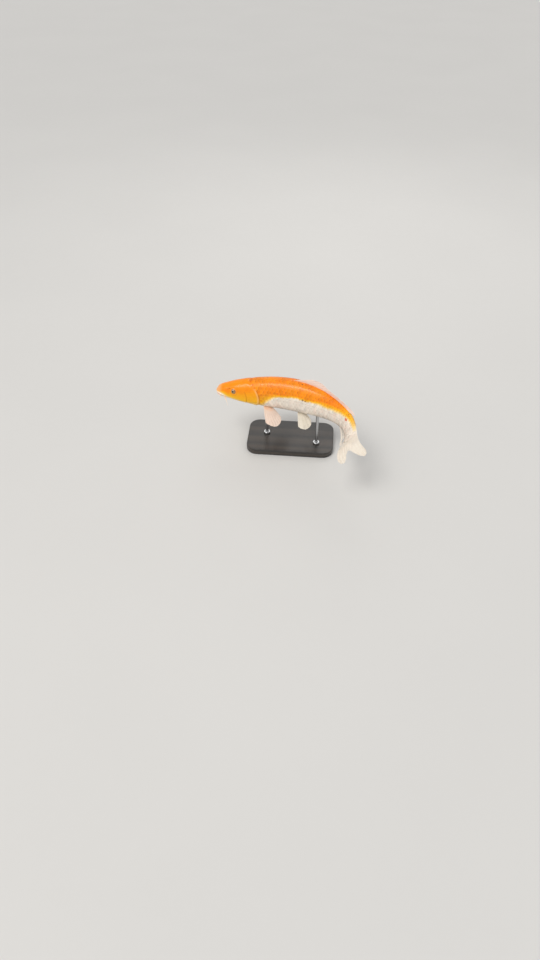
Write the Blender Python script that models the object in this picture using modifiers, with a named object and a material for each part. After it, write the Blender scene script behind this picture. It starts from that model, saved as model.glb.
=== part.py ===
"""A life-size koi carp, turning to its left, as a still museum model on a display stand.

The fish is modelled straight, in its own frame: the snout's tip is at the origin, +X runs along
the body to the tail, -Y is the fish's left and +Z is up. Every piece of it is then bent by one
guide curve, its spine. The finished model has its head towards -Y and its left side towards +X,
and the middle of the stand's underside is at the origin. Lengths are in metres.
"""

import math

import bmesh
import bpy
from mathutils import Vector

STANDARD_LENGTH = 0.455  # snout to the root of the tail fin
TOTAL_LENGTH = 0.560  # snout to the tips of the tail fin, along the bent spine
SEAM = 0.0003  # the gap kept where two pieces meet
MM = 0.001

# The body's shape, each value a share of the standard length: place along the body, height of
# the back, depth of the belly, half width, and the level at which the section is widest.
BODY_STATIONS = (
    ("tip", 0.000, 0.001, 0.007, 0.006, -0.004),
    ("snout", 0.005, 0.015, 0.019, 0.024, -0.004),
    ("lips", 0.016, 0.027, 0.028, 0.035, -0.005),
    ("muzzle", 0.042, 0.039, 0.034, 0.044, -0.005),
    ("nostrils", 0.075, 0.050, 0.042, 0.050, -0.005),
    ("eyes", 0.115, 0.063, 0.051, 0.056, -0.005),
    ("cheeks", 0.165, 0.076, 0.061, 0.063, -0.007),
    ("nape", 0.220, 0.087, 0.071, 0.068, -0.007),
    ("gill_edge", 0.262, 0.094, 0.077, 0.071, -0.005),
    ("shoulder", 0.340, 0.104, 0.085, 0.074, -0.002),
    ("dorsal_root", 0.440, 0.110, 0.090, 0.075, 0.002),
    ("belly", 0.530, 0.108, 0.091, 0.071, 0.004),
    ("flank", 0.640, 0.097, 0.084, 0.061, 0.004),
    ("vent", 0.760, 0.078, 0.068, 0.045, 0.004),
    ("anal_end", 0.850, 0.063, 0.055, 0.033, 0.003),
    ("stem", 0.930, 0.055, 0.050, 0.024, 0.002),
    ("tail_root", 1.000, 0.055, 0.052, 0.014, 0.001),
    ("hypural", 1.030, 0.046, 0.044, 0.005, 0.001),
)
BODY_RINGS = 44
RING_CROWDING = 1.4  # the rings stand closer at the head
BODY_SIDES = 30
TOP_SQUARENESS = 2.15  # exponent of the superellipse above the widest level
THROAT_SQUARENESS = 2.7  # and below it, under the head
BELLY_SQUARENESS = 2.35

# The spine: level, and turning further to the left towards the tail. The tail fin lags behind that
# turn and twists, its upper lobe away from the turn's inside and its lower lobe towards it.
SPINE_TURN = math.radians(171)
SPINE_TURN_POWER = 2.63
TAIL_LAG = math.radians(100)
TAIL_LAG_START = 0.80  # of the total length
TAIL_TWIST = math.radians(-60)
TAIL_TWIST_START = 0.58
SPINE_STEPS = 100
SPINE_HEIGHT = 0.155

EYE_PLACE = 0.108  # of the standard length
EYE_LEVEL = 0.020
EYE_RADIUS = 0.0092
EYE_BULGE = 0.0028

HEAD_REACH = 0.262  # of the standard length, where the gill covers end
HEAD_EDGE_LEVEL = -0.011  # the level of their rearmost point
HEAD_EDGE_BOW = 5.5  # how fast that edge runs forward above and below it
GILL_WIDTH = 0.090
GILL_LEVELS = (-0.067, 0.045)
GILL_THICKNESS = 0.0035

JAW_LEVEL = -0.005
JAW_CORNER = (0.043, -0.016)
JAW_ROOT = (0.083, -0.110)

TAIL_CUT = 0.762  # of the standard length, just ahead of the anal fin

BASE_SIZE = (0.140, 0.240, 0.016)
BASE_CORNER = 0.030
BASE_EDGE = 0.0022
ROD_RADIUS = 0.004
ROD_PLACES = {"front": 0.300, "rear": 0.620}  # of the standard length
ROD_DEPTH = 0.010  # into the base, and into the belly
COLLAR_RADIUS = 0.009
COLLAR_HEIGHT = 0.006
STAND_CENTRE = 0.450  # of the standard length, above the middle of the base

COLOURS = {
    "orange": ((0.90, 0.30, 0.02), 0.35, 0.0),
    "white": ((0.86, 0.78, 0.66), 0.38, 0.0),
    "fin": ((0.88, 0.80, 0.70), 0.40, 0.0),
    "lip": ((0.86, 0.70, 0.60), 0.38, 0.0),
    "eye": ((0.02, 0.02, 0.02), 0.10, 0.0),
    "base": ((0.035, 0.033, 0.032), 0.45, 0.0),
    "steel": ((0.60, 0.60, 0.61), 0.30, 1.0),
}


def clear_scene():
    for obj in list(bpy.data.objects):
        bpy.data.objects.remove(obj)


def collection(name, helpers=False):
    made = bpy.data.collections.new(name)
    made.hide_render = helpers
    bpy.context.scene.collection.children.link(made)
    return made


def material(name):
    colour, roughness, metallic = COLOURS[name]
    made = bpy.data.materials.get(name) or bpy.data.materials.new(name)
    made.use_nodes = True
    shader = made.node_tree.nodes["Principled BSDF"]
    shader.inputs["Base Color"].default_value = (*colour, 1.0)
    shader.inputs["Roughness"].default_value = roughness
    shader.inputs["Metallic"].default_value = metallic
    return made


def add_object(name, data, group, finish=None, parent=None):
    obj = bpy.data.objects.new(name, data)
    group.objects.link(obj)
    obj.parent = parent
    if finish:
        obj.data.materials.append(material(finish))
    return obj


def add_helper(name, data, group, parent=None):
    obj = add_object(name, data, group, parent=parent)
    obj.hide_render = True
    obj.display_type = "WIRE"
    return obj


def mesh_of(name, build):
    """A mesh made by build(bm), with its normals pointing out."""
    bm = bmesh.new()
    build(bm)
    bmesh.ops.recalc_face_normals(bm, faces=bm.faces)
    mesh = bpy.data.meshes.new(name)
    bm.to_mesh(mesh)
    bm.free()
    return mesh


def shade(obj):
    obj.data.shade_smooth()
    obj.data.set_sharp_from_angle(angle=math.radians(35))


def boolean(obj, operation, other):
    cut = obj.modifiers.new(f"{operation.lower()}_{other.name}", "BOOLEAN")
    cut.operation = operation
    cut.object = other


def bend(obj, spine):
    along = obj.modifiers.new("bend", "CURVE")
    along.object = spine
    along.deform_axis = "POS_X"


# The shape of the body.


def along_stations(place, column):
    """A value of BODY_STATIONS at a place along the body, read from a smooth curve through them."""
    rows = BODY_STATIONS
    place = min(max(place, rows[0][1]), rows[-1][1])
    i = max(k for k in range(len(rows) - 1) if rows[k][1] <= place)

    def slope(k):
        before, after = rows[max(k - 1, 0)], rows[min(k + 1, len(rows) - 1)]
        return (after[column] - before[column]) / (after[1] - before[1])

    span = rows[i + 1][1] - rows[i][1]
    t = (place - rows[i][1]) / span
    return (
        rows[i][column] * (1 + 2 * t) * (1 - t) ** 2
        + slope(i) * span * t * (1 - t) ** 2
        + rows[i + 1][column] * t * t * (3 - 2 * t)
        + slope(i + 1) * span * t * t * (t - 1)
    )


def squareness(place, upper):
    if upper:
        return TOP_SQUARENESS
    under_head = min(max((0.34 - place) / 0.12, 0), 1)
    return BELLY_SQUARENESS + (THROAT_SQUARENESS - BELLY_SQUARENESS) * under_head


def body_point(place, angle, outset=0.0):
    """A point of the body's surface. The angle is 0 on the right, a quarter turn on the back."""
    back, belly, half_width, level = (
        along_stations(place, column) * STANDARD_LENGTH for column in (2, 3, 4, 5)
    )
    upper = math.sin(angle) >= 0
    power = 2 / squareness(place, upper)
    height = back - level if upper else belly + level
    sideways = math.copysign(abs(math.cos(angle)) ** power, math.cos(angle))
    upwards = math.copysign(abs(math.sin(angle)) ** power, math.sin(angle))
    return Vector(
        (
            place * STANDARD_LENGTH,
            sideways * (half_width + outset),
            level + upwards * (height + outset),
        )
    )


def body_mesh(name, outset=0.0, first=0.0, last=BODY_STATIONS[-1][1]):
    """The body as one closed loft between two places, standing off its surface by outset."""

    def build(bm):
        rings = []
        for i in range(BODY_RINGS + 1):
            t = i / BODY_RINGS
            place = first + (last - first) * t**RING_CROWDING
            ring = [
                bm.verts.new(body_point(place, 2 * math.pi * k / BODY_SIDES, outset))
                for k in range(BODY_SIDES)
            ]
            rings.append(ring)
        for vert in rings[0]:
            vert.co.x -= outset
        for vert in rings[-1]:
            vert.co.x += outset
        for near, far in zip(rings, rings[1:]):
            for k in range(BODY_SIDES):
                after = (k + 1) % BODY_SIDES
                bm.faces.new((near[k], near[after], far[after], far[k]))
        bm.faces.new(rings[0])
        bm.faces.new(rings[-1])

    return mesh_of(name, build)


def prism_mesh(name, outline, low, high):
    """An upright outline of (x, z) points, carried along Y from low to high."""

    def build(bm):
        near = [bm.verts.new((x, low, z)) for x, z in outline]
        far = [bm.verts.new((x, high, z)) for x, z in outline]
        bm.faces.new(near)
        bm.faces.new(far)
        for k in range(len(outline)):
            after = (k + 1) % len(outline)
            bm.faces.new((near[k], near[after], far[after], far[k]))

    return mesh_of(name, build)


# The spine.


def ease(value, start, end):
    """Rises smoothly from 0 at start to 1 at end."""
    t = min(max((value - start) / (end - start), 0), 1)
    return t * t * (3 - 2 * t)


def spine_heading(share):
    """How far the fish has turned to its left, at a share of its total length."""
    return SPINE_TURN * share**SPINE_TURN_POWER - TAIL_LAG * ease(share, TAIL_LAG_START, 1)


def spine_points():
    points = [Vector((0, 0, 0))]
    step = TOTAL_LENGTH / SPINE_STEPS
    for i in range(SPINE_STEPS):
        turn = spine_heading((i + 0.5) / SPINE_STEPS)
        points.append(points[-1] + step * Vector((math.cos(turn), -math.sin(turn), 0)))
    return points


def spine_point(place):
    """The bent spine's point at a share of the standard length."""
    at = place * STANDARD_LENGTH / TOTAL_LENGTH * SPINE_STEPS
    points = spine_points()
    i = min(int(at), SPINE_STEPS - 1)
    return points[i].lerp(points[i + 1], at - i)


def make_spine(group, parent):
    data = bpy.data.curves.new("spine", "CURVE")
    data.dimensions = "3D"
    data.twist_mode = "Z_UP"
    line = data.splines.new("POLY")
    points = spine_points()
    line.points.add(len(points) - 1)
    for i, (knot, place) in enumerate(zip(line.points, points)):
        knot.co = (*place, 1)
        knot.tilt = TAIL_TWIST * ease(i / SPINE_STEPS, TAIL_TWIST_START, 1)
    return add_helper("spine", data, group, parent)


# The body, parted with thin cuts.


def head_edge(level):
    """Where the head ends at a level, both shares of the standard length."""
    return HEAD_REACH - HEAD_EDGE_BOW * (level - HEAD_EDGE_LEVEL) ** 2


def head_outline(shift):
    steps = 24
    low, high = -0.150, 0.150
    levels = [low + (high - low) * k / steps for k in range(steps + 1)]
    rear = [(head_edge(level) + shift, level) for level in levels]
    return scaled([(-0.05, low), *rear, (-0.05, high)])


def gill_outline(grow, overrun):
    """The gill cover's outline, its front a flattened arc from tip to tip of its rear edge."""
    steps = 12
    low, high = GILL_LEVELS
    middle, half = (low + high) / 2, (high - low) / 2
    turns = [math.pi * (k / steps - 0.5) for k in range(steps + 1)]
    levels = [middle + (half + grow) * math.sin(turn) for turn in turns]
    widths = [(GILL_WIDTH + grow) * abs(math.cos(turn)) ** 0.8 for turn in turns]
    front = [(head_edge(level) - width, level) for level, width in zip(levels, widths)]
    rear = [(head_edge(level) + overrun, level) for level in levels]
    return scaled([*(rear if overrun else rear[1:-1]), *reversed(front)])


def jaw_outline(grow):
    corner = (JAW_CORNER[0] + grow, JAW_CORNER[1] + grow)
    root = (JAW_ROOT[0] + grow, JAW_ROOT[1])
    return scaled([(-0.05, JAW_LEVEL + grow), corner, root, (-0.05, JAW_ROOT[1])])


def scaled(outline):
    return [(x * STANDARD_LENGTH, z * STANDARD_LENGTH) for x, z in outline]


def make_cutters(group, frame):
    """The shapes that part the body, each with a slightly larger one that leaves the seam."""
    seam = SEAM / STANDARD_LENGTH
    wide = 0.2
    floor, bed = -GILL_THICKNESS, -GILL_THICKNESS - SEAM
    tail_cut = TAIL_CUT * STANDARD_LENGTH
    cutters = {
        "envelope": body_mesh("envelope", SEAM),
        "gill_floor": body_mesh("gill_floor", floor, 0.10, 0.40),
        "gill_bed": body_mesh("gill_bed", bed, 0.10, 0.40),
        "head_block": prism_mesh("head_block", head_outline(0.0), -wide, wide),
        "head_clearance": prism_mesh("head_clearance", head_outline(seam), -wide, wide),
        "jaw_block": prism_mesh("jaw_block", jaw_outline(0.0), -wide, wide),
        "jaw_clearance": prism_mesh("jaw_clearance", jaw_outline(seam), -wide, wide),
        "tail_block": prism_mesh("tail_block", box_outline(tail_cut, 0.6), -wide, wide),
        "tail_clearance": prism_mesh(
            "tail_clearance", box_outline(tail_cut - SEAM, 0.6), -wide, wide
        ),
    }
    for side, low, high in (("left", -wide, 0.0), ("right", 0.0, wide)):
        cover, slot = gill_outline(0.0, 0.0), gill_outline(seam, 0.02)
        cutters[f"gill_{side}"] = prism_mesh(f"gill_{side}", cover, low, high)
        cutters[f"gill_slot_{side}"] = prism_mesh(f"gill_slot_{side}", slot, low, high)
    helpers = {name: add_helper(name, mesh, group, frame) for name, mesh in cutters.items()}
    for side in ("left", "right"):
        boolean(helpers[f"gill_slot_{side}"], "DIFFERENCE", helpers["gill_bed"])
    return helpers


def box_outline(start, end, half=0.2):
    return [(start, -half), (end, -half), (end, half), (start, half)]


def make_body(parts, frame, cutters):
    def piece(name, finish, *cuts):
        obj = add_object(name, body_mesh(name), parts, finish, frame)
        for operation, cutter in cuts:
            boolean(obj, operation, cutters[cutter])
        return obj

    made = {
        "head": piece(
            "head",
            "orange",
            ("INTERSECT", "head_block"),
            ("DIFFERENCE", "gill_slot_left"),
            ("DIFFERENCE", "gill_slot_right"),
            ("DIFFERENCE", "jaw_clearance"),
        ),
        "jaw_lower": piece("jaw_lower", "lip", ("INTERSECT", "jaw_block")),
        "trunk": piece(
            "trunk",
            "orange",
            ("DIFFERENCE", "head_clearance"),
            ("DIFFERENCE", "tail_clearance"),
        ),
        "tail_stem": piece("tail_stem", "white", ("INTERSECT", "tail_block")),
    }
    for side in ("left", "right"):
        made[f"gill_cover_{side}"] = piece(
            f"gill_cover_{side}",
            "orange",
            ("INTERSECT", f"gill_{side}"),
            ("DIFFERENCE", "gill_floor"),
        )
    return made


# Eyes and barbels.


def eye_centre(side):
    level = EYE_LEVEL * STANDARD_LENGTH
    steps = 90
    flank = [body_point(EYE_PLACE, math.pi / 2 * k / steps) for k in range(steps)]
    skin = min(flank, key=lambda point: abs(point.z - level))
    return Vector((skin.x, side * (skin.y - EYE_RADIUS + EYE_BULGE), level))


def sphere_mesh(name, radius, centre):
    def build(bm):
        bmesh.ops.create_uvsphere(bm, u_segments=12, v_segments=8, radius=radius)
        bmesh.ops.translate(bm, verts=bm.verts, vec=centre)

    return mesh_of(name, build)


def make_eyes(parts, cutting, frame, head):
    made = []
    for name, side in (("left", -1), ("right", 1)):
        centre = eye_centre(side)
        socket = add_helper(
            f"socket_{name}", sphere_mesh("socket", EYE_RADIUS + SEAM, centre), cutting, frame
        )
        boolean(head, "DIFFERENCE", socket)
        ball = sphere_mesh("eye", EYE_RADIUS, centre)
        made.append(add_object(f"eye_{name}", ball, parts, "eye", frame))
    return made


def make_barbel(name, root, aim, length, radius, droop, parts, frame):
    """A tapering feeler that leaves root towards aim and droops along a parabola."""
    steps = 5
    tip_radius = 0.00035
    data = bpy.data.curves.new(name, "CURVE")
    data.dimensions = "3D"
    data.bevel_depth = 1.0
    data.bevel_resolution = 2
    data.use_fill_caps = True
    line = data.splines.new("POLY")
    line.points.add(steps)
    for k, knot in enumerate(line.points):
        t = k / steps
        place = root + aim.normalized() * length * t + Vector((0, 0, -droop * t * t))
        knot.co = (*place, 1)
        knot.radius = radius + (tip_radius - radius) * t
    return add_object(name, data, parts, "lip", frame)


def make_barbels(parts, frame):
    """Two pairs: short ones on the upper lip, and longer ones at the corners of the mouth."""
    pairs = {
        "upper": (0.026, -0.10, Vector((0.10, 1.0, -0.55)), 0.013, 0.0008, 0.003),
        "corner": (0.052, -0.42, Vector((0.55, 1.0, -0.55)), 0.024, 0.0012, 0.007),
    }
    made = []
    for pair, (place, angle, aim, length, radius, droop) in pairs.items():
        for side_name, side in (("left", -1), ("right", 1)):
            skin = body_point(place, angle)
            out = Vector((-0.25, math.cos(angle), math.sin(angle))).normalized()
            root = skin + out * (radius * 0.6 + 2.5 * SEAM)
            root.y *= side
            heading = Vector((aim.x, side * aim.y, aim.z))
            made.append(
                make_barbel(
                    f"barbel_{pair}_{side_name}", root, heading, length, radius, droop, parts, frame
                )
            )
    return made


# Fins.


def make_fin(name, parts, frame, rays, steps, surface, thick=0.0022, thin_share=0.32):
    """A fin: surface(v, t) gives its middle surface, v across the rays and t from root to edge."""

    def build(bm):
        grid = [
            [bm.verts.new(surface(i / rays, k / steps)) for k in range(steps + 1)]
            for i in range(rays + 1)
        ]
        for near, far in zip(grid, grid[1:]):
            for k in range(steps):
                bm.faces.new((near[k], far[k], far[k + 1], near[k + 1]))

    obj = add_object(name, mesh_of(name, build), parts, "fin", frame)
    root = obj.vertex_groups.new(name="root")
    for i in range(rays + 1):
        for k in range(steps + 1):
            root.add([i * (steps + 1) + k], (1 - k / steps) ** 1.5, "REPLACE")
    solid = obj.modifiers.new("thickness", "SOLIDIFY")
    solid.thickness = thick
    solid.offset = 0
    solid.vertex_group = "root"
    solid.thickness_vertex_group = thin_share
    return obj


def back_at(place):
    return along_stations(place, 2) * STANDARD_LENGTH


def belly_at(place):
    return -along_stations(place, 3) * STANDARD_LENGTH


def ray_fan(root, lean, length, t, curl=0.0):
    """A point on a ray in the upright plane, at t of its length, leaning back by an angle."""
    angle = lean + curl * t
    return Vector((root.x + length * t * math.sin(angle), 0, root.z + length * t * math.cos(angle)))


def bump(v, peak, width):
    return math.exp(-(((v - peak) / width) ** 2))


def dorsal_surface(v, t):
    """Long and folded low: the front rays are the longest."""
    start, end = 0.425, 0.825
    sunk = 0.006
    place = start + (end - start) * v
    root = Vector((place * STANDARD_LENGTH, 0, back_at(place) - sunk))
    length = sunk / 0.29 + STANDARD_LENGTH * (0.050 - 0.014 * v + 0.056 * bump(v, 0.06, 0.26))
    lean = math.radians(73 + 3 * v)
    point = ray_fan(root, lean, length, t, curl=math.radians(2))
    point.y = 0.003 * t * t * math.sin(2.3 * math.pi * v + 0.6) + 0.002 * t
    return point


def anal_surface(v, t):
    start, end = 0.768, 0.850
    sunk = 0.010
    place = start + (end - start) * v
    root = Vector((place * STANDARD_LENGTH, 0, belly_at(place) + sunk))
    length = sunk / 0.75 + STANDARD_LENGTH * (0.060 + 0.075 * bump(v, 0.15, 0.50))
    lean = math.pi - math.radians(42 + 22 * v)
    point = ray_fan(root, lean, length, t, curl=-math.radians(10))
    point.y = 0.003 * t * math.sin(2 * math.pi * v)
    return point


def tail_surface(v, t):
    """The forked tail fin, v from the lower edge to the upper one, whose lobe is longer."""
    across = 2 * v - 1
    half_root = 0.051 * STANDARD_LENGTH
    sunk = 0.014
    root = Vector((STANDARD_LENGTH - sunk - 0.010 * across**2, 0, half_root * across))
    spread = math.radians(10) * math.copysign(abs(across) ** 1.15, across)
    fork = 0.118 + 0.100 * (1 - bump(across, 0.0, 0.50)) - 0.026 * abs(across) ** 8
    fork += 0.020 * across
    length = sunk + STANDARD_LENGTH * fork
    angle = spread * (1 - 0.30 * t)
    x = root.x + length * t * math.cos(angle)
    z = root.z + length * t * math.sin(angle)
    return Vector((x, 0.004 * t * t * math.sin(3 * across), z))


# The paired fins. In shares of the standard length: the root's place and its length along the body,
# and the fin's length. In radians round the body: how low the root lies, and how it slants. Then
# the angle swept back, the spread of the rays, the droop and how it changes across and outwards.
PECTORAL = {
    "place": 0.284,
    "root": 0.034,
    "low": 0.95,
    "tilt": 0.10,
    "sunk": 0.010,
    "sweep": math.radians(33),
    "fan": math.radians(46),
    "droop": math.radians(10),
    "twist": math.radians(12),
    "curl": math.radians(10),
    "length": 0.148,
    "round": 1.05,
    "peak": 0.34,
}
PELVIC = {
    "place": 0.492,
    "root": 0.030,
    "low": 1.22,
    "tilt": 0.06,
    "sunk": 0.010,
    "sweep": math.radians(46),
    "fan": math.radians(52),
    "droop": math.radians(22),
    "twist": math.radians(10),
    "curl": math.radians(8),
    "length": 0.114,
    "round": 1.05,
    "peak": 0.32,
}


def paired_surface(v, t, size, side):
    """A paired fin: it leaves the body sideways, swept back and drooping."""
    place = size["place"] + size["root"] * v
    angle = -size["low"] - size["tilt"] * v
    root = body_point(place, angle)
    sunk = size["sunk"]
    root.y -= sunk * math.cos(size["droop"])
    root.z += sunk * math.sin(size["droop"])
    swing = size["sweep"] + size["fan"] * (v - 0.5)
    droop = size["droop"] + size["twist"] * (v - 0.5) + size["curl"] * t
    reach = sunk + STANDARD_LENGTH * size["length"] * (
        1 - size["round"] * abs(v - size["peak"]) ** 1.8
    )
    out = reach * t
    flat = out * math.cos(droop)
    x = root.x + flat * math.sin(swing) + 0.10 * out * t
    y = root.y + flat * math.cos(swing)
    z = root.z - out * math.sin(droop)
    return Vector((x, side * y, z))


def make_fins(parts, frame):
    fins = [
        make_fin("fin_dorsal", parts, frame, 18, 5, dorsal_surface),
        make_fin("fin_anal", parts, frame, 8, 5, anal_surface),
        make_fin("fin_tail", parts, frame, 16, 8, tail_surface, thick=0.0026),
    ]
    for kind, size in (("pectoral", PECTORAL), ("pelvic", PELVIC)):
        for side_name, side in (("left", -1), ("right", 1)):

            def surface(v, t, size=size, side=side):
                return paired_surface(v, t, size, side)

            fins.append(
                make_fin(f"fin_{kind}_{side_name}", parts, frame, 10, 6, surface, thick=0.0024)
            )
    return fins


# The stand.


def cylinder_mesh(name, radius, low, high, sides=20):
    def build(bm):
        bmesh.ops.create_cone(
            bm, cap_ends=True, segments=sides, radius1=radius, radius2=radius, depth=high - low
        )
        bmesh.ops.translate(bm, verts=bm.verts, vec=(0, 0, (low + high) / 2))

    return mesh_of(name, build)


def make_stand(parts, cutting, frame, trunk):
    def build(bm):
        bmesh.ops.create_cube(bm, size=1)
        bmesh.ops.scale(bm, verts=bm.verts, vec=BASE_SIZE)
        bmesh.ops.translate(bm, verts=bm.verts, vec=(0, 0, BASE_SIZE[2] / 2))
        upright = [e for e in bm.edges if abs(e.verts[0].co.z - e.verts[1].co.z) > MM]
        bmesh.ops.bevel(bm, geom=upright, offset=BASE_CORNER, segments=6, profile=0.5, affect="EDGES")

    base = add_object("stand_base", mesh_of("stand_base", build), parts, "base")
    edges = base.modifiers.new("edges", "BEVEL")
    edges.width = BASE_EDGE
    edges.segments = 2
    edges.angle_limit = math.radians(60)

    for name, place in ROD_PLACES.items():
        at = frame.matrix_world @ spine_point(place)
        bottom = BASE_SIZE[2] - ROD_DEPTH
        belly = SPINE_HEIGHT + belly_at(place)
        top = belly + ROD_DEPTH

        rod_mesh = cylinder_mesh("rod", ROD_RADIUS, bottom, top)
        rod = add_object(f"stand_rod_{name}", rod_mesh, parts, "steel")
        collar_mesh = cylinder_mesh(
            "collar", COLLAR_RADIUS, BASE_SIZE[2] + SEAM, BASE_SIZE[2] + COLLAR_HEIGHT
        )
        collar = add_object(f"stand_collar_{name}", collar_mesh, parts, "steel")
        bore_mesh = cylinder_mesh("bore", ROD_RADIUS + SEAM, bottom - SEAM, top + SEAM)
        bore = add_helper(f"bore_{name}", bore_mesh, cutting)
        for obj in (rod, collar, bore):
            obj.location = (at.x, at.y, 0)
        for obj in (base, collar, trunk):
            boolean(obj, "DIFFERENCE", bore)
        rim = collar.modifiers.new("rim", "BEVEL")
        rim.width = 0.0008
        rim.segments = 1
        rim.angle_limit = math.radians(60)


def main():
    clear_scene()
    parts = collection("koi_carp")
    cutting = collection("cutters", helpers=True)

    frame = bpy.data.objects.new("fish_frame", None)
    parts.objects.link(frame)
    frame.rotation_euler.z = math.pi / 2
    centre = spine_point(STAND_CENTRE)
    frame.location = (centre.y, -centre.x, SPINE_HEIGHT)
    bpy.context.view_layer.update()

    spine = make_spine(cutting, frame)
    cutters = make_cutters(cutting, frame)
    body = make_body(parts, frame, cutters)
    eyes = make_eyes(parts, cutting, frame, body["head"])
    fins = make_fins(parts, frame)
    for fin in fins:
        boolean(fin, "DIFFERENCE", cutters["envelope"])
    barbels = make_barbels(parts, frame)
    for obj in (*body.values(), *eyes, *fins, *barbels):
        bend(obj, spine)
    make_stand(parts, cutting, frame, body["trunk"])
    for obj in parts.objects:
        if obj.type == "MESH":
            shade(obj)


main()
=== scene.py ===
import math
from contextlib import contextmanager

import bpy
import numpy as np
from mathutils import Matrix, Vector


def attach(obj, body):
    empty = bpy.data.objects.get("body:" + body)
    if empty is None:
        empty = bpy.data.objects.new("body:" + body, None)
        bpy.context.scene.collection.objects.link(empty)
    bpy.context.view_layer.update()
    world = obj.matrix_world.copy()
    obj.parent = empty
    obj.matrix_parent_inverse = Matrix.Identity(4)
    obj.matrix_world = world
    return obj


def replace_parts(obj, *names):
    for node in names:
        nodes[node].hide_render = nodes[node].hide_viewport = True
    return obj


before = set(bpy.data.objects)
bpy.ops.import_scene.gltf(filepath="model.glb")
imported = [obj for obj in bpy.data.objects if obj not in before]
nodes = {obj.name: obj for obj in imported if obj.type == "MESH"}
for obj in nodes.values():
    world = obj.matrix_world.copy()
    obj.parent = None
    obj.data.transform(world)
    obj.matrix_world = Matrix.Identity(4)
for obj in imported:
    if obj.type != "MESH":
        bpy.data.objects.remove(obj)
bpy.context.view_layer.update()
mm = 0.001
handed = {"left": -1, "right": 1}
print("frame loaded:", len(nodes), "nodes")


# The fish is modelled straight: its snout's tip at the origin, +X to the tail, -Y its left side,
# +Z up. Then the spine bends each piece, and fishPlace sets it over the stand.

fish = {
    "standardLength": 0.455,  # snout to the root of the tail fin, metres
    "totalLength": 0.560,
    "spineTurn": 171,  # degrees the spine turns to the left, more and more towards the tail
    "turnPower": 2.63,
    "tailLag": 100,  # degrees the tail fin lags behind that turn
    "lagStart": 0.80,
    "tailTwist": -60,  # degrees the tail fin twists, its upper lobe away from the turn's inside
    "twistStart": 0.58,
    "spineSteps": 100,
    "standCentre": 0.450,  # share of the standard length over the middle of the base
    "height": 0.155,
    "scaleCoat": 0.0013,  # how far the skin lies under the scales' outer edges
    # how square the section is above, below, and how much more so below on the head; 2 is an ellipse
    "squareness": (2.15, 2.35, 0.35),
    "headEnd": (0.34, 0.12),  # where the last of these has faded out, and over what length
    "dorsalFin": (0.425, 0.400),  # where its root starts, and how long it is
    "analFin": (0.768, 0.082),
}
length = fish["standardLength"]

# place, back, belly, half width and widest level, as shares of the standard length
bodyStations = {
    "tip": (0.000, 0.001, 0.007, 0.006, -0.004),
    "snout": (0.005, 0.015, 0.019, 0.024, -0.004),
    "lips": (0.016, 0.027, 0.028, 0.035, -0.005),
    "muzzle": (0.042, 0.039, 0.034, 0.044, -0.005),
    "nostrils": (0.075, 0.050, 0.042, 0.050, -0.005),
    "eyes": (0.115, 0.063, 0.051, 0.056, -0.005),
    "cheeks": (0.165, 0.076, 0.061, 0.063, -0.007),
    "nape": (0.220, 0.087, 0.071, 0.068, -0.007),
    "gillEdge": (0.262, 0.094, 0.077, 0.071, -0.005),
    "shoulder": (0.340, 0.104, 0.085, 0.074, -0.002),
    "dorsalRoot": (0.440, 0.110, 0.090, 0.075, 0.002),
    "belly": (0.530, 0.108, 0.091, 0.071, 0.004),
    "flank": (0.640, 0.097, 0.084, 0.061, 0.004),
    "vent": (0.760, 0.078, 0.068, 0.045, 0.004),
    "analEnd": (0.850, 0.063, 0.055, 0.033, 0.003),
    "stem": (0.930, 0.055, 0.050, 0.024, 0.002),
    "tailRoot": (1.000, 0.055, 0.052, 0.0115, 0.001),
    "hypural": (1.030, 0.046, 0.044, 0.0026, 0.001),
}
stations = np.array(list(bodyStations.values()))
bodyEnd = stations[-1, 0]
gillEdge = bodyStations["gillEdge"][0]


def ease(value, start, end):
    t = np.clip((value - start) / (end - start), 0, 1)
    return t * t * (3 - 2 * t)


def bump(value, peak, width):
    return np.exp(-(((value - peak) / width) ** 2))


# a value of the stations at a place along the body, on a smooth curve through them
def bodyShape(place, column):
    last = len(stations) - 1
    place = np.clip(place, stations[0, 0], stations[-1, 0])
    i = np.clip(np.searchsorted(stations[:, 0], place, side="right") - 1, 0, last - 1)

    def slope(k):
        before, after = stations[np.maximum(k - 1, 0)], stations[np.minimum(k + 1, last)]
        return (after[..., column] - before[..., column]) / (after[..., 0] - before[..., 0])

    span = stations[i + 1, 0] - stations[i, 0]
    t = (place - stations[i, 0]) / span
    return (
        stations[i, column] * (1 + 2 * t) * (1 - t) ** 2
        + slope(i) * span * t * (1 - t) ** 2
        + stations[i + 1, column] * t * t * (3 - 2 * t)
        + slope(i + 1) * span * t * t * (t - 1)
    )


# a point of the body's surface; the angle is 0 on the right and a quarter turn on the back
def bodyPoint(place, angle):
    place, angle = np.broadcast_arrays(np.asarray(place, float), np.asarray(angle, float))
    back, belly, halfWidth, level = (bodyShape(place, column) * length for column in (1, 2, 3, 4))
    upper = np.sin(angle) >= 0
    above, below, throat = fish["squareness"]
    end, run = fish["headEnd"]
    power = 2 / np.where(upper, above, below + throat * np.clip((end - place) / run, 0, 1))
    height = np.where(upper, back - level, belly + level)
    sideways = np.copysign(np.abs(np.cos(angle)) ** power, np.cos(angle))
    upwards = np.copysign(np.abs(np.sin(angle)) ** power, np.sin(angle))
    return np.stack([place * length, sideways * halfWidth, level + upwards * height], axis=-1)


def unit(vectors):
    return vectors / np.maximum(np.linalg.norm(vectors, axis=-1, keepdims=True), 1e-12)


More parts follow.
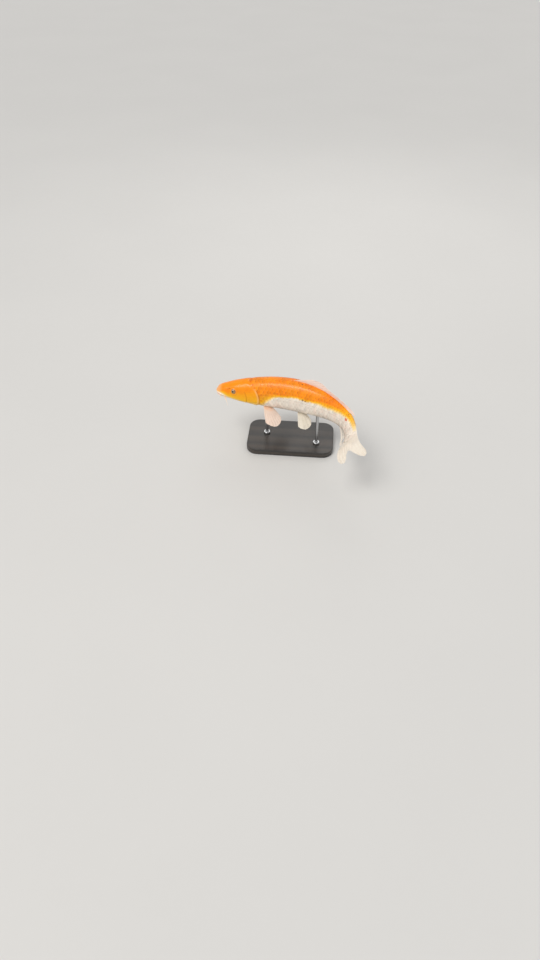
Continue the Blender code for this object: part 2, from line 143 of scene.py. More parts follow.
def bodyNormal(place, angle):
    step = 2e-3
    alongBody = bodyPoint(place + step, angle) - bodyPoint(place - step, angle)
    roundBody = bodyPoint(place, angle + step) - bodyPoint(place, angle - step)
    return unit(np.cross(roundBody, alongBody))


# where the gill covers and the head end at a level, both shares of the standard length
def headEdge(level):
    return gillEdge - 5.5 * (level + 0.011) ** 2


def addObject(name, data):
    made = bpy.data.objects.new(name, data)
    bpy.context.scene.collection.objects.link(made)
    return made


def spinePoints():
    points = [Vector((0, 0, 0))]
    step = fish["totalLength"] / fish["spineSteps"]
    for i in range(fish["spineSteps"]):
        share = (i + 0.5) / fish["spineSteps"]
        lag = fish["tailLag"] * float(ease(share, fish["lagStart"], 1))
        turn = math.radians(fish["spineTurn"] * share ** fish["turnPower"] - lag)
        points.append(points[-1] + step * Vector((math.cos(turn), -math.sin(turn), 0)))
    return points


def addSpine():
    data = bpy.data.curves.new("spine", "CURVE")
    data.dimensions = "3D"
    data.twist_mode = "Z_UP"
    line = data.splines.new("POLY")
    points = spinePoints()
    line.points.add(len(points) - 1)
    for i, (knot, point) in enumerate(zip(line.points, points)):
        knot.co = (*point, 1)
        twist = float(ease(i / fish["spineSteps"], fish["twistStart"], 1))
        knot.tilt = math.radians(fish["tailTwist"]) * twist
    return addObject("spine", data)


def fishMatrix():
    points = spinePoints()
    at = fish["standCentre"] * length / fish["totalLength"] * fish["spineSteps"]
    centre = points[int(at)].lerp(points[int(at) + 1], at - int(at))
    stood = Matrix.Translation((centre.y, -centre.x, fish["height"]))
    return stood @ Matrix.Rotation(math.pi / 2, 4, "Z")


spine = addSpine()
fishPlace = fishMatrix()


def activate(piece):
    bpy.ops.object.select_all(action="DESELECT")
    piece.select_set(True)
    bpy.context.view_layer.objects.active = piece


def applyModifier(piece, kind, **settings):
    activate(piece)
    made = piece.modifiers.new(kind.lower(), kind)
    for name, value in settings.items():
        setattr(made, name, value)
    bpy.ops.object.modifier_apply(modifier=made.name)


# bends a finished piece along the spine and sets it over the stand
def bendAndPlace(piece):
    applyModifier(piece, "CURVE", object=spine, deform_axis="POS_X")
    piece.data.transform(fishPlace)


def smooth(piece, degrees):
    activate(piece)
    bpy.ops.object.shade_smooth_by_angle(angle=math.radians(degrees))


def meshPoints(mesh):
    flat = np.empty(len(mesh.vertices) * 3)
    mesh.vertices.foreach_get("co", flat)
    return flat.reshape(-1, 3)


def putAttribute(mesh, name, values, kind="FLOAT_VECTOR"):
    made = mesh.attributes.new(name, kind, "POINT")
    made.data.foreach_set("vector" if kind == "FLOAT_VECTOR" else "value", np.ravel(values))


def addPrimitive(name, add, **settings):
    bpy.ops.object.select_all(action="DESELECT")
    add(**settings)
    made = bpy.context.object
    made.name = made.data.name = name
    return made


# a grid whose corners run from 0 to 1 both ways; place(u, v) gives each vertex its point
def addSheet(name, columns, rows, place):
    settings = {"x_subdivisions": columns, "y_subdivisions": rows, "size": 1}
    sheet = addPrimitive(name, bpy.ops.mesh.primitive_grid_add, **settings)
    u, v = (meshPoints(sheet.data)[:, k] + 0.5 for k in (0, 1))
    sheet.data.vertices.foreach_set("co", place(u, v).ravel())
    sheet.data.uv_layers[0].name = "OFBake"
    return sheet, u, v


# edit mode for as long as the block lasts, with all or nothing selected
@contextmanager
def editing(piece, action="DESELECT"):
    activate(piece)
    bpy.ops.object.mode_set(mode="EDIT")
    bpy.ops.mesh.select_all(action=action)
    yield
    bpy.ops.object.mode_set(mode="OBJECT")


def turnOutwards():
    bpy.ops.mesh.select_all(action="SELECT")
    bpy.ops.mesh.normals_make_consistent(inside=False)


def closeSeams(piece, distance=1e-6):
    with editing(piece, "SELECT"):
        bpy.ops.mesh.remove_doubles(threshold=distance)
        turnOutwards()


# one mesh from arrays of points, four-sided faces and a place on the bake's map for each point
def addJoined(name, points, faces, mapPlaces):
    mesh = bpy.data.meshes.new(name)
    mesh.from_pydata(points.tolist(), [], faces.tolist())
    uv = mesh.uv_layers.new(name="OFBake")
    corner = np.empty(len(mesh.loops), dtype=np.int32)
    mesh.loops.foreach_get("vertex_index", corner)
    uv.data.foreach_set("uv", mapPlaces[corner].ravel())
    return addObject(name, mesh)


# what the markings read: where a point lies on the body, and where it was before the bend
def putBodyPlace(mesh, place, angle, points):
    girth = np.arcsin(np.clip(np.sin(angle), -1, 1)) / (math.pi / 2)
    side = np.cos(angle)
    putAttribute(mesh, "bodyPlace", np.stack([place, girth, side], axis=-1))
    putAttribute(mesh, "restPlace", points)


def put(tree, socket, value):
    if isinstance(value, bpy.types.NodeSocket):
        tree.links.new(value, socket)
    elif value is not None:
        socket.default_value = value


# fills sockets by name, or in their order
def fill(tree, sockets, values):
    for key, value in values.items() if isinstance(values, dict) else enumerate(values):
        put(tree, sockets[key], value)


# a node with its settings made and then its inputs filled
def newNode(tree, kind, inputs=(), **settings):
    made = tree.nodes.new(kind)
    for name, value in settings.items():
        setattr(made, name, value)
    fill(tree, made.inputs, inputs)
    return made


def maths(tree, operation, *values, clamp=False):
    return newNode(tree, "ShaderNodeMath", values, operation=operation, use_clamp=clamp).outputs[0]


def times(tree, a, b):
    return maths(tree, "MULTIPLY", a, b)


def vectorMaths(tree, operation, *values):
    made = newNode(tree, "ShaderNodeVectorMath", values, operation=operation)
    return made.outputs["Value" if operation == "DISTANCE" else "Vector"]


def remap(tree, value, low, high, toLow=0.0, toHigh=1.0):
    inputs = {"Value": value, "From Min": low, "From Max": high, "To Min": toLow, "To Max": toHigh}
    return newNode(tree, "ShaderNodeMapRange", inputs, interpolation_type="SMOOTHSTEP").outputs["Result"]


def blendColour(tree, share, a, b, kind="MIX"):
    a, b = ((*tone, 1) if isinstance(tone, tuple) else tone for tone in (a, b))
    inputs = {"Factor": share, "A": a, "B": b}
    return newNode(tree, "ShaderNodeMix", inputs, data_type="RGBA", blend_type=kind).outputs["Result"]


# lays a tint over a colour where a mask says; a tint is its strength and its colour
def lay(tree, colour, mask, tint):
    return blendColour(tree, times(tree, mask, tint[0]), colour, tint[1])


# makes a colour lighter or darker by a value
def shade(tree, colour, value):
    grey = newNode(tree, "ShaderNodeCombineColor", (value, value, value)).outputs[0]
    return blendColour(tree, 1.0, colour, grey, kind="MULTIPLY")


def noise(tree, vector, scale, detail=3.0, roughness=0.5, distortion=0.0):
    inputs = {"Vector": vector, "Scale": scale, "Detail": detail, "Roughness": roughness}
    inputs["Distortion"] = distortion
    return newNode(tree, "ShaderNodeTexNoise", inputs).outputs["Fac"]


def attribute(tree, name):
    return newNode(tree, "ShaderNodeAttribute", attribute_name=name).outputs


def parts(tree, vector):
    return newNode(tree, "ShaderNodeSeparateXYZ", (vector,)).outputs


def vectorOf(tree, *values):
    return newNode(tree, "ShaderNodeCombineXYZ", values).outputs[0]


# a smooth curve through points from 0 to 1, read at a value
def profile(tree, value, points):
    made = newNode(tree, "ShaderNodeFloatCurve", {"Value": value})
    curve = made.mapping.curves[0]
    while len(curve.points) < len(points):
        curve.points.new(0.5, 0.5)
    for knot, (x, y) in zip(curve.points, points):
        knot.location = (x, y)
        knot.handle_type = "AUTO"
    made.mapping.update()
    return made.outputs[0]


def newGroup(name, inputs, outputs):
    group = bpy.data.node_groups.new(name, "ShaderNodeTree")
    for label, kind, value in inputs:
        socket = group.interface.new_socket(label, in_out="INPUT", socket_type=f"NodeSocket{kind}")
        if value is not None:
            socket.default_value = value
    for label, kind in outputs:
        group.interface.new_socket(label, in_out="OUTPUT", socket_type=f"NodeSocket{kind}")
    start = newNode(group, "NodeGroupInput")
    end = newNode(group, "NodeGroupOutput")
    return group, start.outputs, end.inputs


def useGroup(tree, group, inputs):
    return newNode(tree, "ShaderNodeGroup", inputs, node_tree=group).outputs


def newMaterial(name, constants):
    made = bpy.data.materials.new(name)
    made.use_nodes = True
    fill(made.node_tree, made.node_tree.nodes["Principled BSDF"].inputs, constants)
    return made, made.node_tree


# gives a material its colour, roughness and relief, which is what rises, how far and how strongly
def dress(made, colour, roughness, relief=None, alpha=None):
    tree = made.node_tree
    normal = None
    if relief:
        inputs = dict(zip(("Height", "Distance", "Strength"), relief))
        normal = newNode(tree, "ShaderNodeBump", inputs).outputs["Normal"]
    looks = {"Base Color": colour, "Roughness": roughness, "Normal": normal, "Alpha": alpha}
    fill(tree, tree.nodes["Principled BSDF"].inputs, looks)
    return made


markings = {
    "orange": (0.95, 0.285, 0.002),
    "deepOrange": (0.90, 0.175, 0.002),
    "gold": (0.97, 0.50, 0.008),
    "paleGold": (0.94, 0.73, 0.32),
    "white": (0.86, 0.78, 0.68),
    "blush": (0.89, 0.56, 0.43),
    "fleck": (0.030, 0.020, 0.018),
    "spot": (0.70, 0.095, 0.012),
    "wobble": 0.10,  # how far the orange's edge wanders
    "blushShare": 0.35,  # how strong the pink flush on the white is
    # along the body: how high the white reaches, from 0 on the belly's middle to 1 on the back
    "edge": ((0, 0.62), (0.03, 0.56), (0.07, 0.40), (0.14, 0.24), (0.22, 0.20), (0.27, 0.26),
             (0.31, 0.45), (0.36, 0.555), (0.48, 0.58), (0.62, 0.565), (0.74, 0.60), (0.84, 0.67),
             (0.92, 0.73), (1, 0.76)),
    # how wide the gold margin is there, in the same measure
    "margin": ((0, 0.09), (0.06, 0.18), (0.12, 0.37), (0.22, 0.43), (0.28, 0.27), (0.34, 0.07),
               (0.50, 0.045), (0.60, 0.05), (0.70, 0.09), (0.85, 0.16), (1, 0.18)),
    # how full the orange is on the back: 1 is full, 0.5 is gold, 0 is white
    "fullness": ((0, 0.62), (0.035, 0.80), (0.10, 0.97), (0.30, 1.0), (0.72, 1.0), (0.80, 0.86),
                 (0.86, 0.60), (0.93, 0.44), (0.985, 0.22), (1, 0.12)),
}
# small dark flecks and one red spot: place, girth, side, radius in metres
flecks = {
    "lowerEdge": (0.545, 0.165, 1, 0.0026),
    "lowerEdgeTwo": (0.562, 0.150, 1, 0.0019),
    "dorsalRoot": (0.520, 0.860, 1, 0.0021),
    "ridge": (0.872, 0.800, 1, 0.0022),
    "ridgeTwo": (0.884, 0.760, 1, 0.0015),
    "farSide": (0.660, 0.310, -1, 0.0022),
}
redSpot = (0.885, 0.33, 1, 0.0054)
girthSpan = 0.065  # metres that a girth of 1 stands for where a fleck is measured


def makeMarkings():
    group, given, result = newGroup(
        "koiMarkings",
        [
            ("Body Place", "Vector", None),
            ("Rest Place", "Vector", None),
            ("Wobble", "Float", 0.10),
            ("Blush", "Float", 0.35),
        ],
        [("Colour", "Color"), ("Orange", "Float")],
    )
    place, girth, side = parts(group, given["Body Place"])
    high = maths(group, "MULTIPLY_ADD", girth, 0.5, 0.5)

    broad = noise(group, given["Rest Place"], 17, detail=4, roughness=0.55)
    fine = noise(group, given["Rest Place"], 75, detail=3, roughness=0.6)
    wander = times(group, maths(group, "SUBTRACT", broad, 0.5), given["Wobble"])
    ripple = times(group, maths(group, "SUBTRACT", fine, 0.5), 0.045)

    edge = profile(group, place, markings["edge"])
    margin = profile(group, place, markings["margin"])
    above = maths(group, "ADD", maths(group, "SUBTRACT", high, edge), wander)
    above = maths(group, "ADD", above, ripple)
    rise = maths(group, "DIVIDE", above, margin)
    rise = maths(group, "MULTIPLY_ADD", rise, 0.5, 0.25, clamp=True)
    full = profile(group, place, markings["fullness"])
    rise = maths(group, "MINIMUM", rise, maths(group, "MULTIPLY_ADD", wander, 0.9, full))

    ramp = newNode(group, "ShaderNodeValToRGB")
    stops = ((0.10, "white"), (0.27, "paleGold"), (0.48, "gold"), (0.82, "orange"))
    while len(ramp.color_ramp.elements) < len(stops):
        ramp.color_ramp.elements.new(0.5)
    for stop, (position, name) in zip(ramp.color_ramp.elements, stops):
        stop.position = position
        stop.color = (*markings[name], 1)
    put(group, ramp.inputs[0], rise)
    colour = ramp.outputs["Color"]

    # the orange is deepest in soft clouds along the back, and the white has a pink flush
    cloud = noise(group, given["Rest Place"], 9, detail=5, roughness=0.6, distortion=0.3)
    deep = times(group, remap(group, cloud, 0.45, 0.68), remap(group, rise, 0.8, 1.0))
    along = remap(group, place, 0.30, 0.55)
    deep = times(group, deep, maths(group, "MULTIPLY_ADD", along, 0.45, 0.30))
    colour = blendColour(group, deep, colour, markings["deepOrange"])
    flush = times(group, remap(group, fine, 0.40, 0.75), remap(group, cloud, 0.35, 0.6))
    low = remap(group, rise, 0.25, 0.05)
    flush = times(group, times(group, flush, low), given["Blush"])
    colour = blendColour(group, flush, colour, markings["blush"])

    # where a fleck lies, measured on the body's surface
    def closeness(spot, soft):
        atPlace, atGirth, atSide, radius = spot
        uneven = times(group, fine, 0.006)
        here = vectorOf(group, times(group, place, length), times(group, girth, girthSpan), uneven)
        there = (atPlace * length, atGirth * girthSpan, 0.003)
        away = vectorMaths(group, "DISTANCE", here, there)
        mask = remap(group, away, radius * (1 + soft), radius * (1 - soft))
        return times(group, mask, remap(group, times(group, side, -atSide), -0.02, 0.02))

    for spot in flecks.values():
        colour = lay(group, colour, closeness(spot, 0.5), (0.9, markings["fleck"]))
    colour = blendColour(group, closeness(redSpot, 0.35), colour, markings["spot"])

    fill(group, result, {"Colour": colour, "Orange": rise})
    return group


koiMarkings = makeMarkings()


def addMarkings(tree):
    body, rest = (attribute(tree, name)["Vector"] for name in ("bodyPlace", "restPlace"))
    inputs = {"Body Place": body, "Rest Place": rest, "Wobble": markings["wobble"]}
    return useGroup(tree, koiMarkings, {**inputs, "Blush": markings["blushShare"]}), rest


# fine wet relief of bare skin, soft dimples and shallow wrinkles, on the skin and the barbels
def makeSkinGrain():
    group, given, result = newGroup(
        "skinGrain",
        [("Rest Place", "Vector", None), ("Dimple Size", "Float", 0.0016), ("Wear", "Float", 0.5)],
        [("Height", "Float"), ("Pore", "Float"), ("Gloss", "Float")],
    )
    perMetre = maths(group, "DIVIDE", 1.0, given["Dimple Size"])
    inputs = {"Vector": given["Rest Place"], "Scale": perMetre, "Smoothness": 0.6}
    dimple = newNode(group, "ShaderNodeTexVoronoi", inputs, feature="SMOOTH_F1")
    wrinkle = noise(group, given["Rest Place"], 260, detail=4, roughness=0.6, distortion=0.4)
    pore = remap(group, dimple.outputs["Distance"], 0.22, 0.06)
    height = maths(group, "MULTIPLY_ADD", wrinkle, 0.55, times(group, pore, -0.35))
    broad = noise(group, given["Rest Place"], 34, detail=3, roughness=0.55)
    gloss = times(group, broad, given["Wear"])
    fill(group, result, {"Height": height, "Pore": pore, "Gloss": gloss})
    return group


skinGrain = makeSkinGrain()
print("markings and grain ready")


skin = {
    "sides": 216,
    "capRings": 6,
    # the step between rings, as shares of the standard length, is fine on the face and gill edge
    "stepPlaces": (0, 0.006, 0.03, 0.064, 0.067, 0.086, 0.092, 0.25, 0.2575, 0.268, 0.300, 1.030),
    "steps": (
        0.0004, 0.0006, 0.0011, 0.0012, 0.0007, 0.0007, 0.0012, 0.0014, 0.0004, 0.0005, 0.0050, 0.0065,
    ),
    "mouthCorner": 0.043,  # share of the standard length
    "lip": 1.35,  # millimetres, as are the next sizes
    "lipCrease": 2.7,
    "lid": 0.85,
    "nostril": 1.7,
    "gillFlap": 1.1,
    "gillSlit": 1.7,
    # swellings of the head: height in millimetres, place and its width, level and its width
    "swellings": {
        "cover": (0.85, 0.226, 0.034, -0.008, 0.045),
        "cheek": (0.50, 0.150, 0.030, -0.036, 0.020),
        "brow": (0.45, 0.112, 0.030, 0.046, 0.011),
    },
    "roughness": 0.18,
    # tints laid over the markings: how strong, and their colour
    "lipFlush": (0.35, (0.88, 0.52, 0.40)),
    "speckle": (0.16, (0.55, 0.16, 0.03)),
    "pores": (0.10, (0.4, 0.2, 0.1)),
    "gillRim": (0.42, (0.95, 0.58, 0.26)),
    "plates": (0.34, (0.85, 0.17, 0.006)),
    # creases: painted shade, a dark tint in the mouth's slit, the nostrils, the slit behind the gill cover,
    # the vent and the cheek's grooves
    "creases": (0.80, (0.17, 0.045, 0.014)),
}
eye = {
    "place": 0.108,
    "level": 0.020,
    "radius": 0.0092,
    "bulge": 0.0028,
    "pupil": 0.0030,
    "iris": 0.0058,
    "irisTones": ((0.34, 0.17, 0.045), (0.60, 0.40, 0.15)),
    "upperShade": (0.16, 0.07, 0.03),
    "goldRing": (0.82, 0.55, 0.17),
    "darkRing": (0.050, 0.022, 0.010),
    "white": (0.78, 0.27, 0.030),
    "pupilTone": (0.004, 0.004, 0.005),
}


def eyeSkinPoint():
    angles = np.linspace(0, math.pi / 2, 200)
    flank = bodyPoint(eye["place"], angles)
    return flank[np.argmin(np.abs(flank[:, 2] - eye["level"] * length))]


eyeSkin = eyeSkinPoint()


def skinPlaces():
    places = [0.0]
    while places[-1] < bodyEnd - 0.003:
        places.append(places[-1] + np.interp(places[-1], skin["stepPlaces"], skin["steps"]))
    places[-1] = bodyEnd
    return np.array([0.0] * skin["capRings"] + places)


# how far the gill cover stands free at a level
def gillFree(level):
    return (1 - ease(level, 0.036, 0.058)) * (0.30 + 0.70 * ease(level, -0.084, -0.062))


# folds beside a line or round a point: the height, distance and width of each
def folds(away, *shapes):
    return sum(high * bump(away, at, width) for high, at, width in shapes)


# how far the head's relief lifts a point, how deep in a crease, pit or slit it lies, which is where painted
# shade goes, and the gill cover's rim; sizes in millimetres, places and levels as shares of the standard
# length
def headRelief(points, place, ring, level):
    x, y, z = points[..., 0] / mm, np.abs(points[..., 1]) / mm, points[..., 2] / mm
    size = length / mm

    def near(at):
        at = np.asarray(at) / mm
        return np.sqrt((x - at[0]) ** 2 + (y - abs(at[1])) ** 2 + (z - at[2]) ** 2)

    # the lips over and under the mouth's slit, a groove beyond each, and a dimple at the corner
    corner = skin["mouthCorner"] * size
    slit = size * (-0.005 - 0.011 * (np.clip(x, 0, corner) / corner) ** 1.3)
    away = z - slit
    shut = 1 - ease(x, corner - 3.5, corner + 1.5)
    face = 1 - ease(x, corner - 6, corner + 5)
    mouth = bump(away, 0, 0.80) * shut
    height = skin["lip"] * folds(away, (1, 2.5, 1.8), (0.9, -2.5, 1.8)) * shut
    height = height - skin["lipCrease"] * mouth
    height = height + folds(away, (-0.75, 5.6, 1.1), (-0.65, -5.8, 1.2)) * face
    height = height - 0.8 * bump(near((corner * mm + 0.002, 0.020, -0.0090)), 0, 3.0)

    # the nostril's two pits, their rims, and the flap of skin between them
    ahead, behind = bodyPoint(0.0715, math.radians(41)), bodyPoint(0.0820, math.radians(43.5))
    flap = bodyPoint(0.0765, math.radians(42.3))
    pits = bump(near(ahead), 0, 1.0) + 1.05 * bump(near(behind), 0, 1.25)
    height = height - skin["nostril"] * pits + 0.9 * bump(near(flap), 0, 0.9)
    height = height + 0.22 * bump(near(ahead), 1.9, 0.6) + 0.20 * bump(near(behind), 2.2, 0.6)

    # rings round the eye, the widest one only below it
    fromEye = near(eyeSkin)
    height = height + folds(fromEye, (skin["lid"], 7.9, 1.35), (-0.40, 6.2, 0.6), (-0.40, 10.8, 1.2))
    height = height - 0.30 * bump(fromEye, 14.2, 1.3) * ease(-level, -0.012, 0.010)

    # the edge of the cheek, and the swellings
    inner = 0.186 - 6.0 * (level + 0.020) ** 2
    cheek = ease(level, -0.070, -0.058) * (1 - ease(level, 0.022, 0.036))
    off = (place - inner) * size
    height = height + cheek * folds(off, (0.62, -2.6, 1.9), (-0.95, 0, 1.05))
    for high, atPlace, wide, atLevel, tall in skin["swellings"].values():
        height = height + high * bump(place, atPlace, wide) * bump(level, atLevel, tall)

    # on the gill cover, its lower seam and faint striae
    lower = (level + 0.050 - 0.40 * (place - 0.20)) * size
    underCover = ease(place, 0.186, 0.196) * (1 - ease(place, 0.244, 0.254))
    height = height - 0.75 * bump(lower, 0, 0.8) * underCover
    striae = np.sin(level * 900 + 60 * (place - 0.19)) * bump(level, -0.004, 0.034)
    onCover = ease(place, 0.194, 0.205) * (1 - ease(place, 0.236, 0.252))
    height = height + 0.085 * striae * onCover

    # the folds of the gill membranes, and the creases of the chin and the crown
    membrane = ease(place, 0.125, 0.150) * (1 - ease(place, 0.225, 0.25))
    for fold in range(3):
        line = (level + 0.064 + 0.0055 * fold - 0.10 * (place - 0.19)) * size
        height = height - 0.34 * bump(line, 0, 0.65) * membrane
    chin = (place - 0.084 - 1.6 * (y / size) ** 2) * size
    height = height - 0.55 * bump(chin, 0, 1.4) * (1 - ease(level, -0.050, -0.032))
    crown = (place - 0.196) * size
    height = height - 0.22 * bump(crown, 0, 2.6) * ease(level, 0.040, 0.070)

    # the root of the pectoral fin, and the vent
    height = height + 1.5 * bump(near(bodyPoint(0.298, -0.98)), 0, 8.5)
    fromVent = near(bodyPoint(0.757, -math.pi / 2))
    height = height + folds(fromVent, (1.3, 0, 5.5), (-2.0, 0, 1.5))

    # the gill cover's free edge with the slit behind it, and the drop to the skin under the scales
    free = gillFree(level)
    onFlap = ring <= gillEdge + 0.0002
    height = height + free * skin["gillFlap"] * ease(ring, 0.222, 0.256) * onFlap
    behindFlap = free * ~onFlap * (1 - ease(ring, 0.2640, 0.2860))
    height = height - skin["gillSlit"] * behindFlap
    drop = free * ease(ring, 0.2618, 0.2660) + (1 - free) * ease(ring, 0.236, 0.263)
    height = height - fish["scaleCoat"] / mm * drop
    grooves = 0.34 * bump(off, 0, 1.0) * cheek + 0.30 * bump(lower, 0, 0.9) * underCover
    # where painted shade darkens the mouth's slit, the nostrils, the slit behind the gill cover, the vent
    # and the grooves
    creaseShade = mouth + 0.75 * pits + 0.8 * behindFlap + 0.6 * bump(fromVent, 0, 1.8) + grooves
    rim = free * ease(ring, 0.2480, 0.2555) * onFlap
    return height * mm, np.clip(creaseShade, 0, 1), rim


def makeSkin():
    rings, sides = skinPlaces(), skin["sides"]
    angles = 2 * math.pi * np.arange(sides + 1) / sides - math.pi / 2
    ring, angle = np.meshgrid(rings, angles, indexing="ij")
    index = np.arange(len(rings))[:, None] * np.ones(sides + 1)

    # the rings lean with the gill edge, so that its flap is crisp
    edgeLevel = bodyPoint(gillEdge, angle)[..., 2] / length
    follows = ease(ring, 0.10, 0.250) * (1 - ease(ring, 0.272, 0.42))
    place = ring + (headEdge(edgeLevel) - gillEdge) * follows
    points = bodyPoint(place, angle)
    normals = bodyNormal(place, angle)

    # the snout closes over a small rounded cap
    inward = np.clip(index / skin["capRings"], 0, 1)
    centre = np.array([0, 0, -0.0035 * length])
    capped = centre + (points - centre) * inward[..., None]
    capped[..., 0] = points[..., 0] - 0.0009 * np.sqrt(np.clip(1 - inward**2, 0, 1))
    points = np.where(inward[..., None] < 1, capped, points)
    nose = np.array([-1.0, 0, 0])
    turned = ease(index, 0, skin["capRings"] + 3)[..., None]
    normals = unit(nose * (1 - turned) + normals * turned)

    level = points[..., 2] / length
    height, creaseShade, rim = headRelief(points, place, ring, level)
    points = points + normals * height[..., None]

    def onGrid(u, v):
        return np.rint(u * (len(rings) - 1)).astype(int), np.rint(v * sides).astype(int) % sides

    sheet, u, v = addSheet("skin", len(rings) - 1, sides, lambda u, v: points[onGrid(u, v)])
    at = onGrid(u, v)
    putBodyPlace(sheet.data, place[at], angle[at], points[at])
    putAttribute(sheet.data, "creaseShade", creaseShade[at], "FLOAT")
    putAttribute(sheet.data, "gillRim", rim[at], "FLOAT")
    uv = sheet.data.uv_layers["OFBake"].data
    corners = np.empty(len(uv) * 2)
    uv.foreach_get("uv", corners)
    corners = corners.reshape(-1, 2)
    row = np.rint(corners[:, 0] * (len(rings) - 1)).astype(int)
    corners[:, 0] = (rings[row] + 0.004 * np.clip(row / skin["capRings"], 0, 1)) / (bodyEnd + 0.004)
    uv.foreach_set("uv", corners.ravel())
    closeSeams(sheet)
    with editing(sheet):
        bpy.ops.mesh.select_non_manifold()
        bpy.ops.mesh.fill()
    return sheet


def makeSkinMaterial():
    made, tree = newMaterial(
        "wetSkin", {"Coat Weight": 0.20, "Coat Roughness": 0.07, "Specular IOR Level": 0.18}
    )
    marked, rest = addMarkings(tree)
    grain = useGroup(tree, skinGrain, {"Rest Place": rest, "Dimple Size": 0.0017, "Wear": 0.22})
    place = parts(tree, attribute(tree, "bodyPlace")["Vector"])[0]

    # blood shows through on the lips and round the gill edge, and the creases, pits and slits get painted
    # shade
    colour = lay(tree, marked["Colour"], remap(tree, place, 0.040, 0.012), skin["lipFlush"])
    speckle = remap(tree, noise(tree, rest, 420, detail=2), 0.62, 0.78)
    speckle = times(tree, speckle, remap(tree, place, 0.27, 0.20))
    colour = lay(tree, colour, speckle, skin["speckle"])
    colour = lay(tree, colour, grain["Pore"], skin["pores"])
    colour = lay(tree, colour, attribute(tree, "gillRim")["Fac"], skin["gillRim"])
    plates = remap(tree, noise(tree, rest, 46, detail=5, roughness=0.62, distortion=0.6), 0.48, 0.66)
    plates = times(tree, plates, remap(tree, place, 0.275, 0.245))
    plates = times(tree, plates, remap(tree, marked["Orange"], 0.4, 0.8))
    colour = lay(tree, colour, plates, skin["plates"])
    # painted shade in the creases, pits and slits
    colour = lay(tree, colour, attribute(tree, "creaseShade")["Fac"], skin["creases"])
    roughness = maths(tree, "ADD", grain["Gloss"], skin["roughness"])
    return dress(made, colour, roughness, (grain["Height"], 0.00035, 0.6))


skinPiece = makeSkin()
smooth(skinPiece, 60)
bendAndPlace(skinPiece)
skinPiece.data.materials.append(makeSkinMaterial())
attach(skinPiece, "root")
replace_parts(skinPiece, "head", "jaw_lower", "gill_cover_left", "gill_cover_right", "trunk", "tail_stem")
print("skin:", len(skinPiece.data.polygons), "faces")


scales = {
    "rowSpacing": (0.0093, 0.0077),  # metres across the rows, ahead and at the tail
    "columnSpacing": (0.0100, 0.0082),  # along the lateral line
    "cover": 2.05,  # a scale's length in column spacings
    "breadth": 1.01,  # half its width in row spacings
    "rise": 0.00098,  # how high its rear edge stands over the skin
    "rim": 0.00034,
    "round": (0.50, 2.3),  # how far its corners lie ahead of its rear edge, and with what power
    "sideDrop": 0.46,  # how much lower its two sides lie, as a share of that
    "arch": 0.00016,
    "middleRise": 0.00032,  # how much higher the rows on the back's and belly's middle lie
    "across": 8,
    "along": 5,
    "vary": 0.05,  # how much single scales differ in size, as a share, and in turn, in radians
    "turn": 0.05,
    # from where to where the middle rows run, on the back and on the belly
    "middleRows": {1: ((0.215, 0.420), (0.834, 1.012)), -1: ((0.271, 0.748), (0.862, 1.012))},
    "mapPatch": 0.003,
    "lineAngle": (15, 2),  # degrees the lateral line lies above the widest level
    "seed": 7,
    # the rim's colours, and the painted shade at the root under the scale ahead, where the fish is orange,
    # and where it is white
    "rimTones": ((0.97, 0.52, 0.10), (0.93, 0.89, 0.82)),
    "rootShadeTones": ((0.62, 0.085, 0.004), (0.66, 0.55, 0.45)),
    "poreTint": (0.55, (0.25, 0.09, 0.04)),
    "growthRings": (150.0, 0.05),  # how many, and how deep
    "rays": (46.0, 0.06),
    "roughness": 0.22,
}


def lineAngle(place):
    high, low = scales["lineAngle"]
    return np.radians(low + (high - low) * (1 - ease(place, 0.26, 0.62)))


# distances round the body from the lateral line, so that scales can be spaced in metres
arcPlaces = np.linspace(0.15, bodyEnd, 177)
arcSteps = np.linspace(-0.12, 0.12, 481)


def makeArcTable():
    angles = np.linspace(-math.pi / 2, math.pi / 2, 361)
    table, backs, bellies = [], [], []
    for place in arcPlaces:
        section = bodyPoint(place, angles)
        run = np.concatenate([[0], np.cumsum(np.linalg.norm(np.diff(section, axis=0), axis=1))])
        run = run - np.interp(lineAngle(place), angles, run)
        table.append(np.interp(arcSteps, run, angles))
        backs.append(run[-1])
        bellies.append(run[0])
    return np.array(table), np.array(backs), np.array(bellies)


arcTable, backArcs, bellyArcs = makeArcTable()


def angleAt(place, arc):
    row = np.clip((place - arcPlaces[0]) / (arcPlaces[1] - arcPlaces[0]), 0, len(arcPlaces) - 1.001)
    column = np.clip((arc - arcSteps[0]) / (arcSteps[1] - arcSteps[0]), 0, len(arcSteps) - 1.001)
    i, j = row.astype(int), column.astype(int)
    a, b = row - i, column - j
    near = arcTable[i, j] * (1 - b) + arcTable[i, j + 1] * b
    far = arcTable[i + 1, j] * (1 - b) + arcTable[i + 1, j + 1] * b
    return near * (1 - a) + far * a


